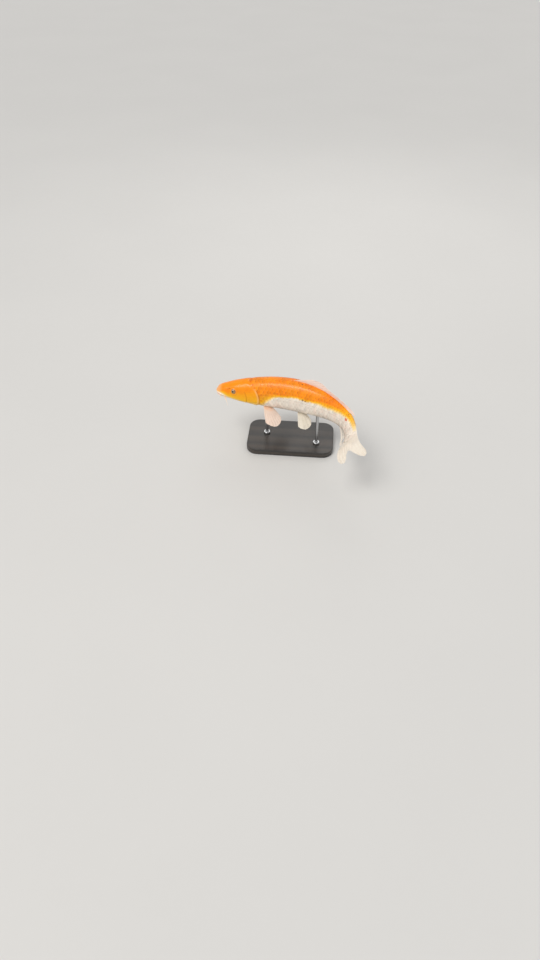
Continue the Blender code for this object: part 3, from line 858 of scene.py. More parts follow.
# one scale as a flat pattern: across from -1 to 1, along from its root to its round rear edge,
# height from the skin to that edge, and a rim folded down behind it
def modelScale():
    wide, deep = scales["across"], scales["along"]

    def shape(u, v):
        across = 2 * u - 1
        cut, power = scales["round"]
        rearEdge = 1 - cut * np.abs(across) ** power
        breadth = 0.62 + 0.38 * ease(v, 0.0, 0.45)
        return np.stack([across * breadth, v * rearEdge, v + 0 * u], axis=-1)

    made, _, _ = addSheet("scalePattern", wide, deep, shape)
    with editing(made):
        bpy.ops.mesh.select_mode(type="EDGE")
    rear = meshPoints(made.data)[:, 2] > 0.999
    for edge in made.data.edges:
        edge.select = all(rear[k] for k in edge.vertices)
    bpy.ops.object.mode_set(mode="EDIT")
    bpy.ops.mesh.extrude_region_move(TRANSFORM_OT_translate={"value": (0, -0.035, 1.0)})
    bpy.ops.object.mode_set(mode="OBJECT")
    points = meshPoints(made.data)
    faces = np.array([list(f.vertices) for f in made.data.polygons])
    bpy.data.objects.remove(made)
    return points, faces


# rows and columns grow closer together towards the tail
def columnStep(place):
    return np.interp(place, (0.3, 1.0), scales["columnSpacing"]) / length


def rowWidth(place):
    return np.interp(place, (0.35, 1.0), scales["rowSpacing"])


def scaleRow(row):
    columns = []
    place = 0.19
    offset = 0.5 if row % 2 else 0.0
    while place < 1.020:
        spacing = columnStep(place)
        at = place + offset * spacing
        columns.append((at, row * rowWidth(at), rowWidth(at), spacing))
        place += spacing
    return columns


# where the coat starts at a level: just under the gill covers' edge, and further ahead on the nape
def coatStart(level):
    return headEdge(level) - (0.004 + 0.010 * ease(level, 0.045, 0.060))


# every scale's root: side, place, distance round the body, row and column spacing, and whether it
# lies on the lateral line
def placeScales():
    found = []
    dorsalStart, dorsalRun = fish["dorsalFin"]
    for side in handed.values():
        for row in range(-9, 11):
            for place, arc, width, spacing in scaleRow(row):
                back = np.interp(place, arcPlaces, backArcs)
                belly = np.interp(place, arcPlaces, bellyArcs)
                angle = float(angleAt(np.array([place]), np.array([arc]))[0])
                level = bodyPoint(place, angle)[2] / length
                started = place - 0.4 * spacing > coatStart(level)
                ended = place > 1.014 - 7.0 * (level - 0.002) ** 2
                # beside the dorsal fin the rows come closer to the middle of the back
                besideDorsal = dorsalStart < place < dorsalStart + dorsalRun + 0.003
                shy = 0.12 if besideDorsal else 0.35
                if belly + 0.35 * width < arc < back - shy * width and started and not ended:
                    found.append((side, place, arc, width, spacing, row == 0))
    return np.array(found, dtype=float)


# the rows on the middle of the back and of the belly, which cover where the two sides meet
def placeMiddleScales():
    found = []
    for way, spans in scales["middleRows"].items():
        for start, end in spans:
            place = start
            while place < end:
                found.append((way, place, 0.0, rowWidth(place) * 0.92, columnStep(place), 0))
                place += columnStep(place)
    return np.array(found, dtype=float)


def growScales(name, roots, pattern, middle, generator):
    points, faces = pattern
    across, along, high = points[:, 0], points[:, 1], points[:, 2]
    top = np.minimum(high, 1.0)
    rim = high > 1.5
    count = len(roots)
    side, place, arc, width, spacing, lateral = (roots[:, k][:, None] for k in range(6))
    size = 1 + scales["vary"] * generator.standard_normal((count, 1))
    turn = scales["turn"] * generator.standard_normal((count, 1))
    tone = generator.random((count, 1))

    run = scales["cover"] * spacing * size
    dx = (along - 0.55) * run
    da = across * scales["breadth"] * width * size
    at = np.clip(place + dx + turn * da / length, 0.16, bodyEnd - 0.001)
    reach = arc + da - turn * dx * length
    if middle:
        edge = np.where(side > 0, np.interp(at, arcPlaces, backArcs), -np.interp(at, arcPlaces, bellyArcs))
        angle = angleAt(at, np.where(side > 0, edge - np.abs(reach), np.abs(reach) - edge))
        angle = np.where(reach < 0, math.pi - angle, angle)
        rootAngle = angle.mean(axis=1, keepdims=True)
    else:
        back = np.interp(at, arcPlaces, backArcs)
        belly = np.interp(at, arcPlaces, bellyArcs)
        angle = angleAt(at, np.clip(reach, belly, back))
        angle, rootAngle = (np.where(side > 0, a, math.pi - a) for a in (angle, angleAt(place, arc)))

    sides = 1 - scales["sideDrop"] * np.abs(across) ** 2.2
    rise = scales["rise"] * (0.93 + 0.07 * tone) * sides
    small = np.clip(width / scales["rowSpacing"][0], 0, 1)
    height = rise * small * top**1.15 - 0.00045 * (1 - top) ** 2
    height = height + scales["arch"] * (1 - across**2) * top
    height = np.where(rim, height - scales["rim"], height)
    if middle:
        height = height + scales["middleRise"]
    stand = height - fish["scaleCoat"]
    flat = (bodyPoint(at, angle) + bodyNormal(at, angle) * stand[..., None]).reshape(-1, 3)

    firstPoints = (np.arange(count) * len(points))[:, None, None]
    allFaces = (faces[None] + firstPoints).reshape(-1, faces.shape[1])
    turnOn = ((rootAngle + math.pi / 2) / (2 * math.pi)) % 1.0
    patch = scales["mapPatch"]
    u = (place + 0.004) / (bodyEnd + 0.004) + (along - 0.5) * patch
    v = turnOn + across * 0.5 * patch
    mapPlaces = np.clip(np.stack([u, v], axis=-1).reshape(-1, 2), 0, 1)
    made = addJoined(name, flat, allFaces, mapPlaces)
    putBodyPlace(made.data, at.ravel(), angle.ravel(), flat)
    ones = np.ones_like(at)
    rearwards = np.minimum(along + 0.02 * rim, 1)
    coordinates = np.stack([across * ones, rearwards * ones, lateral * ones], axis=-1)
    putAttribute(made.data, "scalePlace", coordinates.reshape(-1, 3))
    putAttribute(made.data, "scaleTone", (tone * ones).ravel(), "FLOAT")
    return made


# what a single scale shows: a paler rim, painted shade at its root and along its folded rear seam, growth
# rings and rays, and on the lateral line a small dark pore
def makeScaleDetail():
    group, given, result = newGroup(
        "scaleDetail",
        [
            ("Colour", "Color", (1, 1, 1, 1)),
            ("Orange", "Float", 1.0),
            ("Rest Place", "Vector", None),
            ("Rim Strength", "Float", 0.3),
        ],
        [("Colour", "Color"), ("Height", "Float"), ("Gloss", "Float")],
    )
    across, along, lateral = parts(group, attribute(group, "scalePlace")["Vector"])
    tone = attribute(group, "scaleTone")["Fac"]
    cut, power = scales["round"]
    bow = maths(group, "POWER", maths(group, "ABSOLUTE", across), power)
    rearShare = maths(group, "DIVIDE", along, maths(group, "MULTIPLY_ADD", bow, -cut, 1.0))

    rim = remap(group, rearShare, 0.90, 0.985)
    # painted shade at the root, where the scale ahead lies over it
    root = remap(group, rearShare, 0.74, 0.48)
    # painted shade along the folded rear seam
    seam = remap(group, rearShare, 0.985, 0.999)
    white = remap(group, given["Orange"], 0.35, 0.12)
    pale = blendColour(group, white, *scales["rimTones"])
    paintedShade = blendColour(group, white, *scales["rootShadeTones"])
    colour = lay(group, given["Colour"], root, (0.42, paintedShade))
    colour = lay(group, colour, rim, (given["Rim Strength"], pale))
    colour = lay(group, colour, seam, (0.30, paintedShade))
    colour = shade(group, colour, maths(group, "MULTIPLY_ADD", tone, 0.20, 0.90))

    here = vectorOf(group, across, times(group, along, 0.55))
    away = vectorMaths(group, "DISTANCE", here, (0.0, 0.435, 0.0))
    hole = times(group, remap(group, away, 0.085, 0.035), lateral)
    colour = lay(group, colour, hole, scales["poreTint"])

    ringCount, ringDepth = scales["growthRings"]
    rayCount, rayDepth = scales["rays"]
    rings = maths(group, "SINE", times(group, rearShare, ringCount))
    fan = maths(group, "ARCTAN2", across, maths(group, "ADD", along, 0.15))
    rays = maths(group, "SINE", times(group, fan, rayCount))
    height = maths(group, "MULTIPLY_ADD", rings, ringDepth, times(group, rays, rayDepth))
    uneven = noise(group, given["Rest Place"], 380, detail=3)
    height = maths(group, "MULTIPLY_ADD", uneven, 0.9, height)
    height = maths(group, "MULTIPLY_ADD", hole, -1.2, height)
    gloss = maths(group, "MULTIPLY_ADD", uneven, 0.10, times(group, tone, 0.08))
    fill(group, result, {"Colour": colour, "Height": height, "Gloss": gloss})
    return group


scaleDetail = makeScaleDetail()


def makeScaleMaterial():
    made, tree = newMaterial(
        "wetScales", {"Coat Weight": 0.20, "Coat Roughness": 0.09, "Specular IOR Level": 0.20}
    )
    marked, rest = addMarkings(tree)
    inputs = {"Colour": marked["Colour"], "Orange": marked["Orange"], "Rest Place": rest}
    detail = useGroup(tree, scaleDetail, {**inputs, "Rim Strength": 0.34})
    roughness = maths(tree, "ADD", detail["Gloss"], scales["roughness"])
    return dress(made, detail["Colour"], roughness, (detail["Height"], 0.00012, 0.7))


def makeScales():
    pattern = modelScale()
    generator = np.random.default_rng(scales["seed"])
    roots = placeScales()
    finish = makeScaleMaterial()
    coats = {
        "scales_left": (roots[roots[:, 0] < 0], False),
        "scales_right": (roots[roots[:, 0] > 0], False),
        "scales_middle": (placeMiddleScales(), True),
    }
    for name, (found, middle) in coats.items():
        coat = growScales(name, found, pattern, middle, generator)
        smooth(coat, 35)
        bendAndPlace(coat)
        coat.data.materials.append(finish)
        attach(coat, "root")
        print(name, len(found), "scales,", len(coat.data.polygons), "faces")


makeScales()


def makeEye(name, side):
    out = bodyNormal(np.array(eye["place"]), np.array(math.radians(26)))
    outwards = eyeSkin[1] - eye["radius"] + eye["bulge"]
    centre = np.array([eyeSkin[0], side * outwards, eye["level"] * length])
    gaze = Vector((out[0] - 0.10, side * out[1], out[2] * 0.55)).normalized()
    settings = {"segments": 64, "ring_count": 40, "radius": eye["radius"]}
    ball = addPrimitive(name, bpy.ops.mesh.primitive_uv_sphere_add, **settings)

    # the cornea bulges a little in the middle, and a fine groove rings the iris
    flat = meshPoints(ball.data)
    across = np.hypot(flat[:, 0], flat[:, 1])
    front = flat[:, 2] > 0
    lift = 0.0005 * bump(across, 0, 0.0046) - 0.00022 * bump(across, eye["iris"], 0.0006)
    flat[:, 2] += np.where(front, lift, 0)
    ball.data.vertices.foreach_set("co", flat.ravel())
    putAttribute(ball.data, "ringPlace", across / eye["radius"], "FLOAT")
    putAttribute(ball.data, "restPlace", flat)
    turn = gaze.to_track_quat("Z", "Y").to_matrix().to_4x4()
    ball.data.transform(Matrix.Translation(centre) @ turn)
    smooth(ball, 80)
    bendAndPlace(ball)
    return ball


def makeEyeMaterial():
    made, tree = newMaterial("eye", {"Coat Weight": 1.0, "Coat Roughness": 0.015, "Specular IOR Level": 0.6})
    ring = attribute(tree, "ringPlace")["Fac"]
    rest = attribute(tree, "restPlace")["Vector"]
    grain = noise(tree, rest, 900, detail=4, roughness=0.65)
    spokes = noise(tree, vectorMaths(tree, "MULTIPLY", rest, (1, 1, 0)), 420, detail=3, roughness=0.7)
    uneven = maths(tree, "MULTIPLY_ADD", maths(tree, "SUBTRACT", grain, 0.5), 0.030, ring)
    pupilShare, irisShare = eye["pupil"] / eye["radius"], eye["iris"] / eye["radius"]
    iris = blendColour(tree, remap(tree, spokes, 0.35, 0.7), *eye["irisTones"])
    high = parts(tree, rest)[1]
    iris = blendColour(tree, remap(tree, high, 0.0005, 0.0050, 0.0, 0.55), iris, eye["upperShade"])
    goldRing = remap(tree, ring, pupilShare + 0.015, pupilShare + 0.042)
    colour = blendColour(tree, goldRing, eye["goldRing"], iris)
    outer = remap(tree, uneven, irisShare - 0.13, irisShare + 0.03)
    colour = blendColour(tree, outer, colour, eye["darkRing"])
    white = remap(tree, uneven, irisShare + 0.01, irisShare + 0.10)
    colour = blendColour(tree, white, colour, eye["white"])
    pupil = remap(tree, ring, pupilShare + 0.008, pupilShare - 0.008)
    colour = blendColour(tree, pupil, colour, eye["pupilTone"])
    relief = times(tree, spokes, maths(tree, "SUBTRACT", 1.0, pupil))
    roughness = maths(tree, "MULTIPLY_ADD", spokes, 0.20, 0.16)
    return dress(made, colour, roughness, (relief, 0.0002, 0.4))


eyeFinish = makeEyeMaterial()
for sideName, side in handed.items():
    ball = makeEye(f"eyeball_{sideName}", side)
    ball.data.materials.append(eyeFinish)
    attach(ball, "root")
    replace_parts(ball, f"eye_{sideName}")
print("eyes done")


barbels = {
    "upper": {
        "place": 0.026, "angle": -0.10, "aim": (0.10, 1, -0.55),
        "length": 0.013, "radius": 0.0008, "droop": 0.003,
    },
    "corner": {
        "place": 0.052, "angle": -0.42, "aim": (0.55, 1, -0.55),
        "length": 0.024, "radius": 0.0012, "droop": 0.007,
    },
}
barbelLook = {
    "sunk": 0.12,  # how much of its length starts inside the lip
    "taper": 0.72,
    "flare": 0.55,  # how much thicker its root is
    "rings": 0.05,  # how deep its fine rings are, as a share of its radius
    "root": (0.90, 0.52, 0.30),
    "tip": (0.90, 0.76, 0.62),
    "pores": (0.15, (0.6, 0.25, 0.15)),
    "roughness": 0.22,
}
upright = np.array([0, 0, 1.0])


def makeBarbel(name, size, side):
    skinPoint = bodyPoint(size["place"], size["angle"])
    out = np.array([-0.25, math.cos(size["angle"]), math.sin(size["angle"])])
    root = skinPoint + unit(out) * size["radius"] * 0.2
    aim = unit(np.array(size["aim"], float))

    def shape(u, v):
        along = u * (1 + barbelLook["sunk"]) - barbelLook["sunk"]
        spot = root + aim * (size["length"] * along)[:, None]
        spot = spot - upright * (size["droop"] * along * np.abs(along))[:, None]
        flare = barbelLook["flare"] * (1 - ease(along, -0.10, 0.12))
        thick = size["radius"] * (1.0 - barbelLook["taper"] * ease(along, 0.0, 1.0) + flare)
        thick = thick * np.sqrt(np.clip((1.002 - u) / 0.05, 0, 1))
        thick = thick * (1 + barbelLook["rings"] * np.sin(along * 46) * (u < 0.97))
        sideways = unit(np.cross(aim, upright))
        upwards = unit(np.cross(sideways, aim))
        ringAngle = 2 * math.pi * v
        spot = spot + sideways * (thick * np.cos(ringAngle))[:, None]
        spot = spot + upwards * (thick * np.sin(ringAngle))[:, None]
        spot[:, 1] *= side
        return spot

    feeler, u, v = addSheet(name, 26, 12, shape)
    putAttribute(feeler.data, "restPlace", meshPoints(feeler.data))
    putAttribute(feeler.data, "reach", u, "FLOAT")
    closeSeams(feeler, 2e-6)
    smooth(feeler, 80)
    bendAndPlace(feeler)
    return feeler


def makeBarbelMaterial():
    made, tree = newMaterial("barbelSkin", {"Coat Weight": 0.5, "Coat Roughness": 0.08})
    rest = attribute(tree, "restPlace")["Vector"]
    reach = attribute(tree, "reach")["Fac"]
    grain = useGroup(tree, skinGrain, {"Rest Place": rest, "Dimple Size": 0.0007, "Wear": 0.2})
    colour = blendColour(tree, remap(tree, reach, 0.05, 0.7), barbelLook["root"], barbelLook["tip"])
    colour = lay(tree, colour, grain["Pore"], barbelLook["pores"])
    roughness = maths(tree, "ADD", grain["Gloss"], barbelLook["roughness"])
    return dress(made, colour, roughness, (grain["Height"], 0.0002, 0.5))


barbelFinish = makeBarbelMaterial()
for pair, size in barbels.items():
    for sideName, side in handed.items():
        feeler = makeBarbel(f"feeler_{pair}_{sideName}", size, side)
        feeler.data.materials.append(barbelFinish)
        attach(feeler, "root")
        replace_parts(feeler, f"barbel_{pair}_{sideName}")
print("barbels done")


# each fin's rays, the strands that each splits into and where, its radius at the root and the tip,
# how many stiff spines come first, and its steps from root to tip
fins = {
    "dorsal": {
        "rays": 21, "branches": 2, "split": 0.52, "root": 0.00066, "tip": 0.00023, "spines": 2, "steps": 14,
    },
    "anal": {
        "rays": 8, "branches": 4, "split": 0.40, "root": 0.00062, "tip": 0.00021, "spines": 2, "steps": 14,
    },
    "tail": {
        "rays": 19, "branches": 4, "split": 0.26, "root": 0.00074, "tip": 0.00026, "spines": 0, "steps": 18,
    },
    "pectoral": {
        "rays": 16, "branches": 4, "split": 0.36, "root": 0.00060, "tip": 0.00020, "spines": 1, "steps": 14,
    },
    "pelvic": {
        "rays": 9, "branches": 4, "split": 0.34, "root": 0.00062, "tip": 0.00021, "spines": 1, "steps": 14,
    },
}
# degrees for sweep, fan, droop, twist and curl; the rest are metres, radians and shares
pairedFins = {
    "pectoral": {
        "place": 0.284, "root": 0.034, "low": 0.95, "tilt": 0.10, "sunk": 0.010, "sweep": 33, "fan": 46,
        "droop": 10, "twist": 12, "curl": 10, "length": 0.148, "round": 1.05, "peak": 0.34,
    },
    "pelvic": {
        "place": 0.492, "root": 0.030, "low": 1.22, "tilt": 0.06, "sunk": 0.010, "sweep": 46, "fan": 52,
        "droop": 22, "twist": 10, "curl": 8, "length": 0.114, "round": 1.05, "peak": 0.32,
    },
}
# colours at the root, of the web and of the rays, how far the root's colour reaches, how clear the web is
finLooks = {
    "dorsal": ((0.93, 0.45, 0.20), (0.90, 0.68, 0.58), (0.92, 0.80, 0.72), 0.55, 0.10),
    "anal": ((0.90, 0.70, 0.56), (0.88, 0.80, 0.70), (0.92, 0.86, 0.78), 0.30, 0.14),
    "tail": ((0.90, 0.66, 0.38), (0.87, 0.78, 0.66), (0.92, 0.86, 0.76), 0.22, 0.12),
    "pectoral": ((0.92, 0.50, 0.26), (0.90, 0.70, 0.58), (0.93, 0.82, 0.74), 0.45, 0.09),
    "pelvic": ((0.89, 0.74, 0.58), (0.86, 0.79, 0.66), (0.92, 0.86, 0.76), 0.25, 0.14),
}
finRoughness = 0.24
# how far each fin's free edge waves, in metres
flutter = {"dorsal": 0.0008, "anal": 0.0008, "tail": 0.0016, "pectoral": 0.0008, "pelvic": 0.0008}


def rayFan(rootX, rootZ, lean, reach, t, curl):
    angle = lean + curl * t
    return rootX + reach * t * np.sin(angle), rootZ + reach * t * np.cos(angle)


def dorsalSurface(v, t):
    sunk = 0.006
    start, run = fish["dorsalFin"]
    place = start + run * v
    reach = sunk / 0.29 + length * (0.050 - 0.014 * v + 0.056 * bump(v, 0.06, 0.26))
    lean = np.radians(73 + 3 * v)
    x, z = rayFan(place * length, bodyShape(place, 1) * length - sunk, lean, reach, t, math.radians(2))
    return np.stack([x, 0.003 * t * t * np.sin(2.3 * math.pi * v + 0.6) + 0.002 * t, z], axis=-1)


def analSurface(v, t):
    sunk = 0.010
    start, run = fish["analFin"]
    place = start + run * v
    reach = sunk / 0.75 + length * (0.060 + 0.075 * bump(v, 0.15, 0.50))
    lean = math.pi - np.radians(42 + 22 * v)
    x, z = rayFan(place * length, sunk - bodyShape(place, 2) * length, lean, reach, t, -math.radians(10))
    return np.stack([x, 0.003 * t * np.sin(2 * math.pi * v), z], axis=-1)


def tailSurface(v, t):
    across = 2 * v - 1
    sunk = 0.014
    rootX, rootZ = length - sunk - 0.010 * across**2, 0.051 * length * across
    spread = math.radians(10) * np.copysign(np.abs(across) ** 1.15, across)
    fork = 0.118 + 0.100 * (1 - bump(across, 0.0, 0.50)) - 0.026 * np.abs(across) ** 8
    fork = fork + 0.020 * across
    reach = sunk + length * fork
    angle = spread * (1 - 0.30 * t)
    x = rootX + reach * t * np.cos(angle)
    z = rootZ + reach * t * np.sin(angle)
    return np.stack([x, 0.004 * t * t * np.sin(3 * across), z], axis=-1)


def pairedSurface(v, t, size, side):
    angle = -size["low"] - size["tilt"] * v
    root = bodyPoint(size["place"] + size["root"] * v, angle)
    droopRoot = math.radians(size["droop"])
    swing = np.radians(size["sweep"] + size["fan"] * (v - 0.5))
    droop = np.radians(size["droop"] + size["twist"] * (v - 0.5) + size["curl"] * t)
    reach = size["sunk"] + length * size["length"] * (1 - size["round"] * np.abs(v - size["peak"]) ** 1.8)
    out = reach * t
    flat = out * np.cos(droop)
    x = root[..., 0] + flat * np.sin(swing) + 0.10 * out * t
    y = root[..., 1] - size["sunk"] * math.cos(droopRoot) + flat * np.cos(swing)
    z = root[..., 2] + size["sunk"] * math.sin(droopRoot) - out * np.sin(droop)
    return np.stack([x, side * y, z], axis=-1)


def surfaceNormals(surface, v, t):
    step = 1e-3
    acrossFin = surface(v + step, t) - surface(v - step, t)
    alongRay = surface(v, t + step) - surface(v, t - step)
    return unit(np.cross(alongRay, acrossFin))


# how far the fin stands off its plain surface, in soft waves that grow towards its edge
def finWave(waving, v, t):
    return waving * t**3 * np.sin(v * 11.0 + 2.2 * t)


# the web between the rays: it sags a little there, and its free edge dips between their tips
def makeWeb(name, size, surface, waving):
    rays = size["rays"] - 1

    def shape(u, v):
        between = 0.5 - 0.5 * np.cos(2 * math.pi * u * rays)
        t = v * (1 - 0.010 * between * v**6) * 0.997
        points = surface(u, t)
        sag = 0.00020 * np.sin(2 * math.pi * u * rays * 0.5 + 0.7) * v
        ripple = 0.0005 * v**4 * np.sin(u * rays * 3.1 + 1.3)
        return points + surfaceNormals(surface, u, t) * (sag + finWave(waving, u, v) + ripple)[:, None]

    web, u, v = addSheet(name, rays * 6, 26, shape)
    putAttribute(web.data, "finPlace", np.stack([u, v, 0 * u], axis=-1))
    thick = web.vertex_groups.new(name="thick")
    for k, value in enumerate((1 - v) ** 1.6):
        thick.add([k], float(value), "REPLACE")
    applyModifier(
        web, "SOLIDIFY", thickness=0.0017, offset=0, vertex_group="thick", thickness_vertex_group=0.20
    )
    web.vertex_groups.clear()
    return web


# every ray as a tapered, many-jointed strand that splits towards the free edge
def makeRays(name, size, surface, waving):
    steps, rays, corners = size["steps"], size["rays"], 6
    strands = []
    for ray in range(rays):
        stiff = ray < size["spines"] or (name.startswith("tail") and ray in (0, rays - 1))
        shares = [0.0] if stiff else np.linspace(-0.5, 0.5, size["branches"] * 2 + 1)[1::2]
        for number, share in enumerate(shares):
            strands.append((ray, share, stiff, number))
    s = np.linspace(0, 1, steps + 1)
    ringAngle = 2 * math.pi * np.arange(corners) / corners
    allPoints, allFaces, finPlaces, mapPlaces = [], [], [], []
    grid = np.arange((steps + 1) * corners).reshape(steps + 1, corners)
    after = np.roll(grid, -1, axis=1)
    quads = np.stack([grid[:-1], after[:-1], after[1:], grid[1:]], axis=-1).reshape(-1, 4)
    for ray, share, stiff, number in strands:
        spread = ease(s, size["split"], 1.0) ** 0.8
        second = ease(s, size["split"] + 0.30, 1.0) if size["branches"] > 2 else spread
        coarse = math.copysign(0.25, share) if share else 0.0
        v = (ray + (coarse * spread + (share - coarse) * second) * 0.92) / (rays - 1)
        v = np.clip(v, 0.0, 1.0)
        t = s * (0.985 if not stiff else 0.97)
        centre = surface(v, t)
        normal = surfaceNormals(surface, v, t)
        centre = centre + normal * finWave(waving, v, t)[:, None]
        forward = unit(np.gradient(centre, axis=0))
        sideways = unit(np.cross(forward, normal))
        thick = size["tip"] + (size["root"] - size["tip"]) * (1 - t) ** 1.2
        thick = thick * (1.35 if stiff else 1.0 - 0.30 * spread)
        thick = thick * (1 - 0.65 * ease(t, 0.93, 1.0))
        ring = (
            normal[:, None, :] * (thick[:, None] * np.sin(ringAngle))[..., None]
            + sideways[:, None, :] * (thick[:, None] * np.cos(ringAngle))[..., None] * 0.85
        )
        start = len(allPoints) * (steps + 1) * corners
        allPoints.append((centre[:, None, :] + ring).reshape(-1, 3))
        allFaces.append(quads + start)
        wide = np.repeat(v, corners)
        reach = np.repeat(t, corners)
        finPlaces.append(np.stack([wide, reach, np.ones_like(wide)], axis=-1))
        around = np.tile(np.arange(corners) / corners, steps + 1)
        mapPlaces.append(np.stack([np.clip(wide + 0.004 * around, 0, 1), reach], axis=-1))
    made = addJoined(
        f"{name}_rays", np.concatenate(allPoints), np.concatenate(allFaces), np.concatenate(mapPlaces)
    )
    putAttribute(made.data, "finPlace", np.concatenate(finPlaces))
    with editing(made):
        bpy.ops.mesh.select_non_manifold()
        bpy.ops.mesh.edge_face_add()
        turnOutwards()
    return made


# joints across the rays, fine creases in the web, and a web that grows clearer towards its edge
def makeFinDetail():
    group, given, result = newGroup(
        "finDetail",
        [
            ("Base", "Color", (1, 1, 1, 1)),
            ("Web", "Color", (1, 1, 1, 1)),
            ("Ray", "Color", (1, 1, 1, 1)),
            ("Base Reach", "Float", 0.4),
            ("Open", "Float", 0.25),
            ("Rays", "Float", 18.0),
        ],
        [("Colour", "Color"), ("Height", "Float"), ("Alpha", "Float"), ("Gloss", "Float")],
    )
    fin = attribute(group, "finPlace")["Vector"]
    across, reach, onRay = parts(group, fin)
    rest = attribute(group, "restPlace")["Vector"]
    cloud = noise(group, rest, 60, detail=4, roughness=0.6)
    strandy = vectorOf(group, times(group, across, given["Rays"]), times(group, reach, 1.2))
    streak = noise(group, strandy, 3.2, detail=4, roughness=0.65)

    uneven = maths(group, "MULTIPLY_ADD", maths(group, "SUBTRACT", cloud, 0.5), 0.5, reach)
    tinted = remap(group, uneven, 0.04, given["Base Reach"], 1.0, 0.0)
    web = blendColour(group, remap(group, streak, 0.35, 0.7, 0.0, 0.5), given["Web"], given["Ray"])
    colour = blendColour(group, onRay, web, given["Ray"])
    colour = lay(group, colour, tinted, (0.85, given["Base"]))

    joints = maths(group, "SINE", times(group, reach, 240.0))
    joint = times(group, remap(group, joints, 0.55, 0.95), onRay)
    joint = times(group, joint, remap(group, reach, 0.22, 0.36))
    colour = lay(group, colour, joint, (0.16, (0.52, 0.36, 0.26)))
    creases = noise(group, strandy, 9.0, detail=3)
    height = maths(group, "MULTIPLY_ADD", joint, -0.7, times(group, creases, 0.5))
    shut = maths(group, "ADD", remap(group, reach, 0.50, 0.10, 0.0, 1.0), onRay, clamp=True)
    clear = times(group, given["Open"], maths(group, "SUBTRACT", 1.0, shut))
    clear = times(group, clear, remap(group, cloud, 0.25, 0.7, 0.6, 1.2))
    alpha = maths(group, "SUBTRACT", 1.0, clear)
    gloss = times(group, cloud, 0.18)
    fill(group, result, {"Colour": colour, "Height": height, "Alpha": alpha, "Gloss": gloss})
    return group


finDetail = makeFinDetail()


def makeFinMaterial(kind):
    base, web, ray, baseReach, clear = finLooks[kind]
    made, tree = newMaterial(f"fin_{kind}", {"Coat Weight": 0.45, "Coat Roughness": 0.10})
    inputs = {"Base": (*base, 1), "Web": (*web, 1), "Ray": (*ray, 1), "Base Reach": baseReach}
    inputs.update({"Open": clear, "Rays": float(fins[kind]["rays"])})
    detail = useGroup(tree, finDetail, inputs)
    roughness = maths(tree, "ADD", detail["Gloss"], finRoughness)
    relief = (detail["Height"], 0.00015, 0.6)
    return dress(made, detail["Colour"], roughness, relief, detail["Alpha"])


def makeFin(kind, name, surface, waving, finish):
    web = makeWeb(f"{name}_web", fins[kind], surface, waving)
    strands = makeRays(name, fins[kind], surface, waving)
    activate(web)
    strands.select_set(True)
    bpy.ops.object.join()
    web.name = web.data.name = f"rayed_{name}"
    putAttribute(web.data, "restPlace", meshPoints(web.data))
    smooth(web, 50)
    bendAndPlace(web)
    web.data.materials.append(finish)
    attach(web, "root")
    print(web.name, len(web.data.polygons), "faces")
    return web


def makeFins():
    finishes = {kind: makeFinMaterial(kind) for kind in fins}
    for kind, surface in (("dorsal", dorsalSurface), ("anal", analSurface), ("tail", tailSurface)):
        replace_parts(makeFin(kind, kind, surface, flutter[kind], finishes[kind]), f"fin_{kind}")
    for kind, size in pairedFins.items():
        for sideName, side in handed.items():

            def surface(v, t, size=size, side=side):
                return pairedSurface(v, t, size, side)

            made = makeFin(kind, f"{kind}_{sideName}", surface, flutter[kind] * side, finishes[kind])
            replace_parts(made, f"fin_{kind}_{sideName}")


makeFins()
bpy.data.objects.remove(spine)


stand = {
    "wood": (0.022, 0.019, 0.017),
    "woodGrain": (0.060, 0.046, 0.036),
    "openPores": (0.7, (0.008, 0.007, 0.006)),
    "grainScale": 26,
    "steel": (0.56, 0.565, 0.575),
    "steelRoughness": 0.22,
}


def makeWoodMaterial():
    made, tree = newMaterial("blackStainedWood", {"Coat Weight": 0.25, "Coat Roughness": 0.22})
    place = newNode(tree, "ShaderNodeTexCoord").outputs["Object"]
    stretched = vectorMaths(tree, "MULTIPLY", place, (1.0, 0.07, 1.0))
    grain = noise(tree, stretched, 900, detail=3, roughness=0.7)
    inputs = {"Scale": stand["grainScale"], "Distortion": 3.0, "Detail": 3.0, "Detail Scale": 1.6}
    inputs["Vector"] = vectorMaths(tree, "ADD", stretched, (0.09, 0, 0.31))
    figure = newNode(tree, "ShaderNodeTexWave", inputs, wave_type="RINGS", rings_direction="Y")
    streak = times(tree, figure.outputs["Fac"], remap(tree, grain, 0.3, 0.7, 0.4, 1.0))
    colour = blendColour(tree, streak, stand["wood"], stand["woodGrain"])
    openPores = remap(tree, grain, 0.62, 0.72)
    colour = lay(tree, colour, openPores, stand["openPores"])
    height = maths(tree, "MULTIPLY_ADD", figure.outputs["Fac"], 0.35, times(tree, openPores, -0.9))
    return dress(made, colour, remap(tree, grain, 0.3, 0.75, 0.36, 0.56), (height, 0.0002, 0.6))


# brushed round the rods and turned on the collars: fine lines at steady heights
def makeSteelMaterial():
    made, tree = newMaterial("brushedSteel", {"Metallic": 1.0})
    place = newNode(tree, "ShaderNodeTexCoord").outputs["Object"]
    stretched = vectorMaths(tree, "MULTIPLY", place, (0.05, 0.05, 1.0))
    lines = noise(tree, stretched, 5200, detail=3, roughness=0.7)
    smudge = noise(tree, place, 70, detail=3)
    colour = shade(tree, stand["steel"], remap(tree, lines, 0.3, 0.7, 0.86, 1.06))
    rough = maths(tree, "MULTIPLY_ADD", smudge, 0.10, stand["steelRoughness"])
    rough = maths(tree, "MULTIPLY_ADD", lines, 0.06, rough)
    return dress(made, colour, rough, (lines, 0.00006, 0.5))


def finishNode(name, finish):
    nodes[name].data.materials.clear()
    nodes[name].data.materials.append(finish)


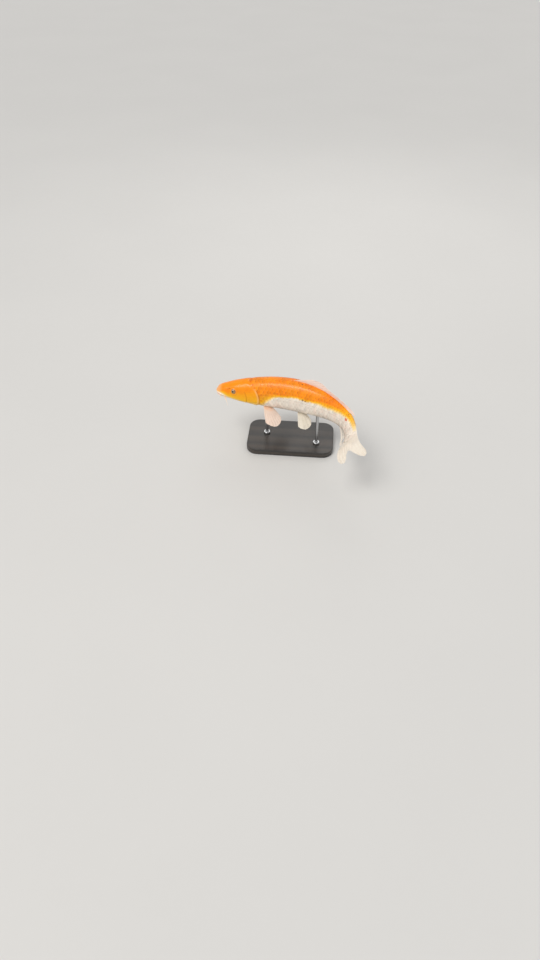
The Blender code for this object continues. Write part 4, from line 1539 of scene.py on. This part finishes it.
finishNode("stand_base", makeWoodMaterial())
steelFinish = makeSteelMaterial()
for name in ("stand_rod_front", "stand_rod_rear", "stand_collar_front", "stand_collar_rear"):
    finishNode(name, steelFinish)
print("stand finished")


studio = {
    "floorColour": (0.64, 0.632, 0.615),
    "air": (0.90, 0.90, 0.90),
    "airStrength": 0.72,
    # where each lamp stands, its size, its power and its colour; the sun's size is in degrees
    "sun": ((1.2, -1.0, 2.6), 26, 1.15, (1.0, 0.975, 0.94)),
    "key": ((1.5, -1.3, 2.2), 1.5, 9, (1.0, 0.965, 0.92)),
    "fill": ((1.9, 1.9, 1.3), 1.8, 4, (0.93, 0.96, 1.0)),
    "back": ((-1.8, 0.2, 1.7), 1.4, 6, (1.0, 0.98, 0.95)),
}
camera = {
    "place": (1.519, 0.081, 1.240),
    "pitch": 42.5,  # degrees below level
    "azimuth": 95.25,
    "lens": 25.875,
}


def makeFloor():
    floor = addPrimitive("floor", bpy.ops.mesh.primitive_plane_add, size=400)
    made, tree = newMaterial("paleFloor", {})
    place = newNode(tree, "ShaderNodeTexCoord").outputs["Object"]
    tone = remap(tree, noise(tree, place, 2.0, detail=4), 0.3, 0.7, 0.99, 1.005)
    roughness = remap(tree, noise(tree, place, 40), 0.3, 0.7, 0.66, 0.76)
    floor.data.materials.append(dress(made, shade(tree, studio["floorColour"], tone), roughness))


def addLamp(name):
    place, size, power, colour = studio[name]
    sun = name == "sun"
    data = bpy.data.lights.new(name, "SUN" if sun else "AREA")
    if sun:
        data.angle = math.radians(size)
    else:
        data.shape = "DISK"
        data.size = size
    data.energy = power
    data.color = colour
    lamp = addObject(name, data)
    lamp.location = place
    aim = Vector((0, 0, 0 if sun else 0.12)) - Vector(place)
    lamp.rotation_euler = aim.to_track_quat("-Z", "Y").to_euler()


def makeStudio():
    makeFloor()
    for name in ("sun", "key", "fill", "back"):
        addLamp(name)
    world = bpy.data.worlds.new("air")
    world.use_nodes = True
    air = {"Color": (*studio["air"], 1), "Strength": studio["airStrength"]}
    fill(world.node_tree, world.node_tree.nodes["Background"].inputs, air)
    bpy.context.scene.world = world
    data = bpy.data.cameras.new("camera")
    data.lens = camera["lens"]
    made = addObject("camera", data)
    made.location = camera["place"]
    made.rotation_euler = (math.radians(90 - camera["pitch"]), 0, math.radians(camera["azimuth"]))
    bpy.context.scene.camera = made


makeStudio()
bpy.context.scene.view_settings.view_transform = "Standard"
print("studio ready")
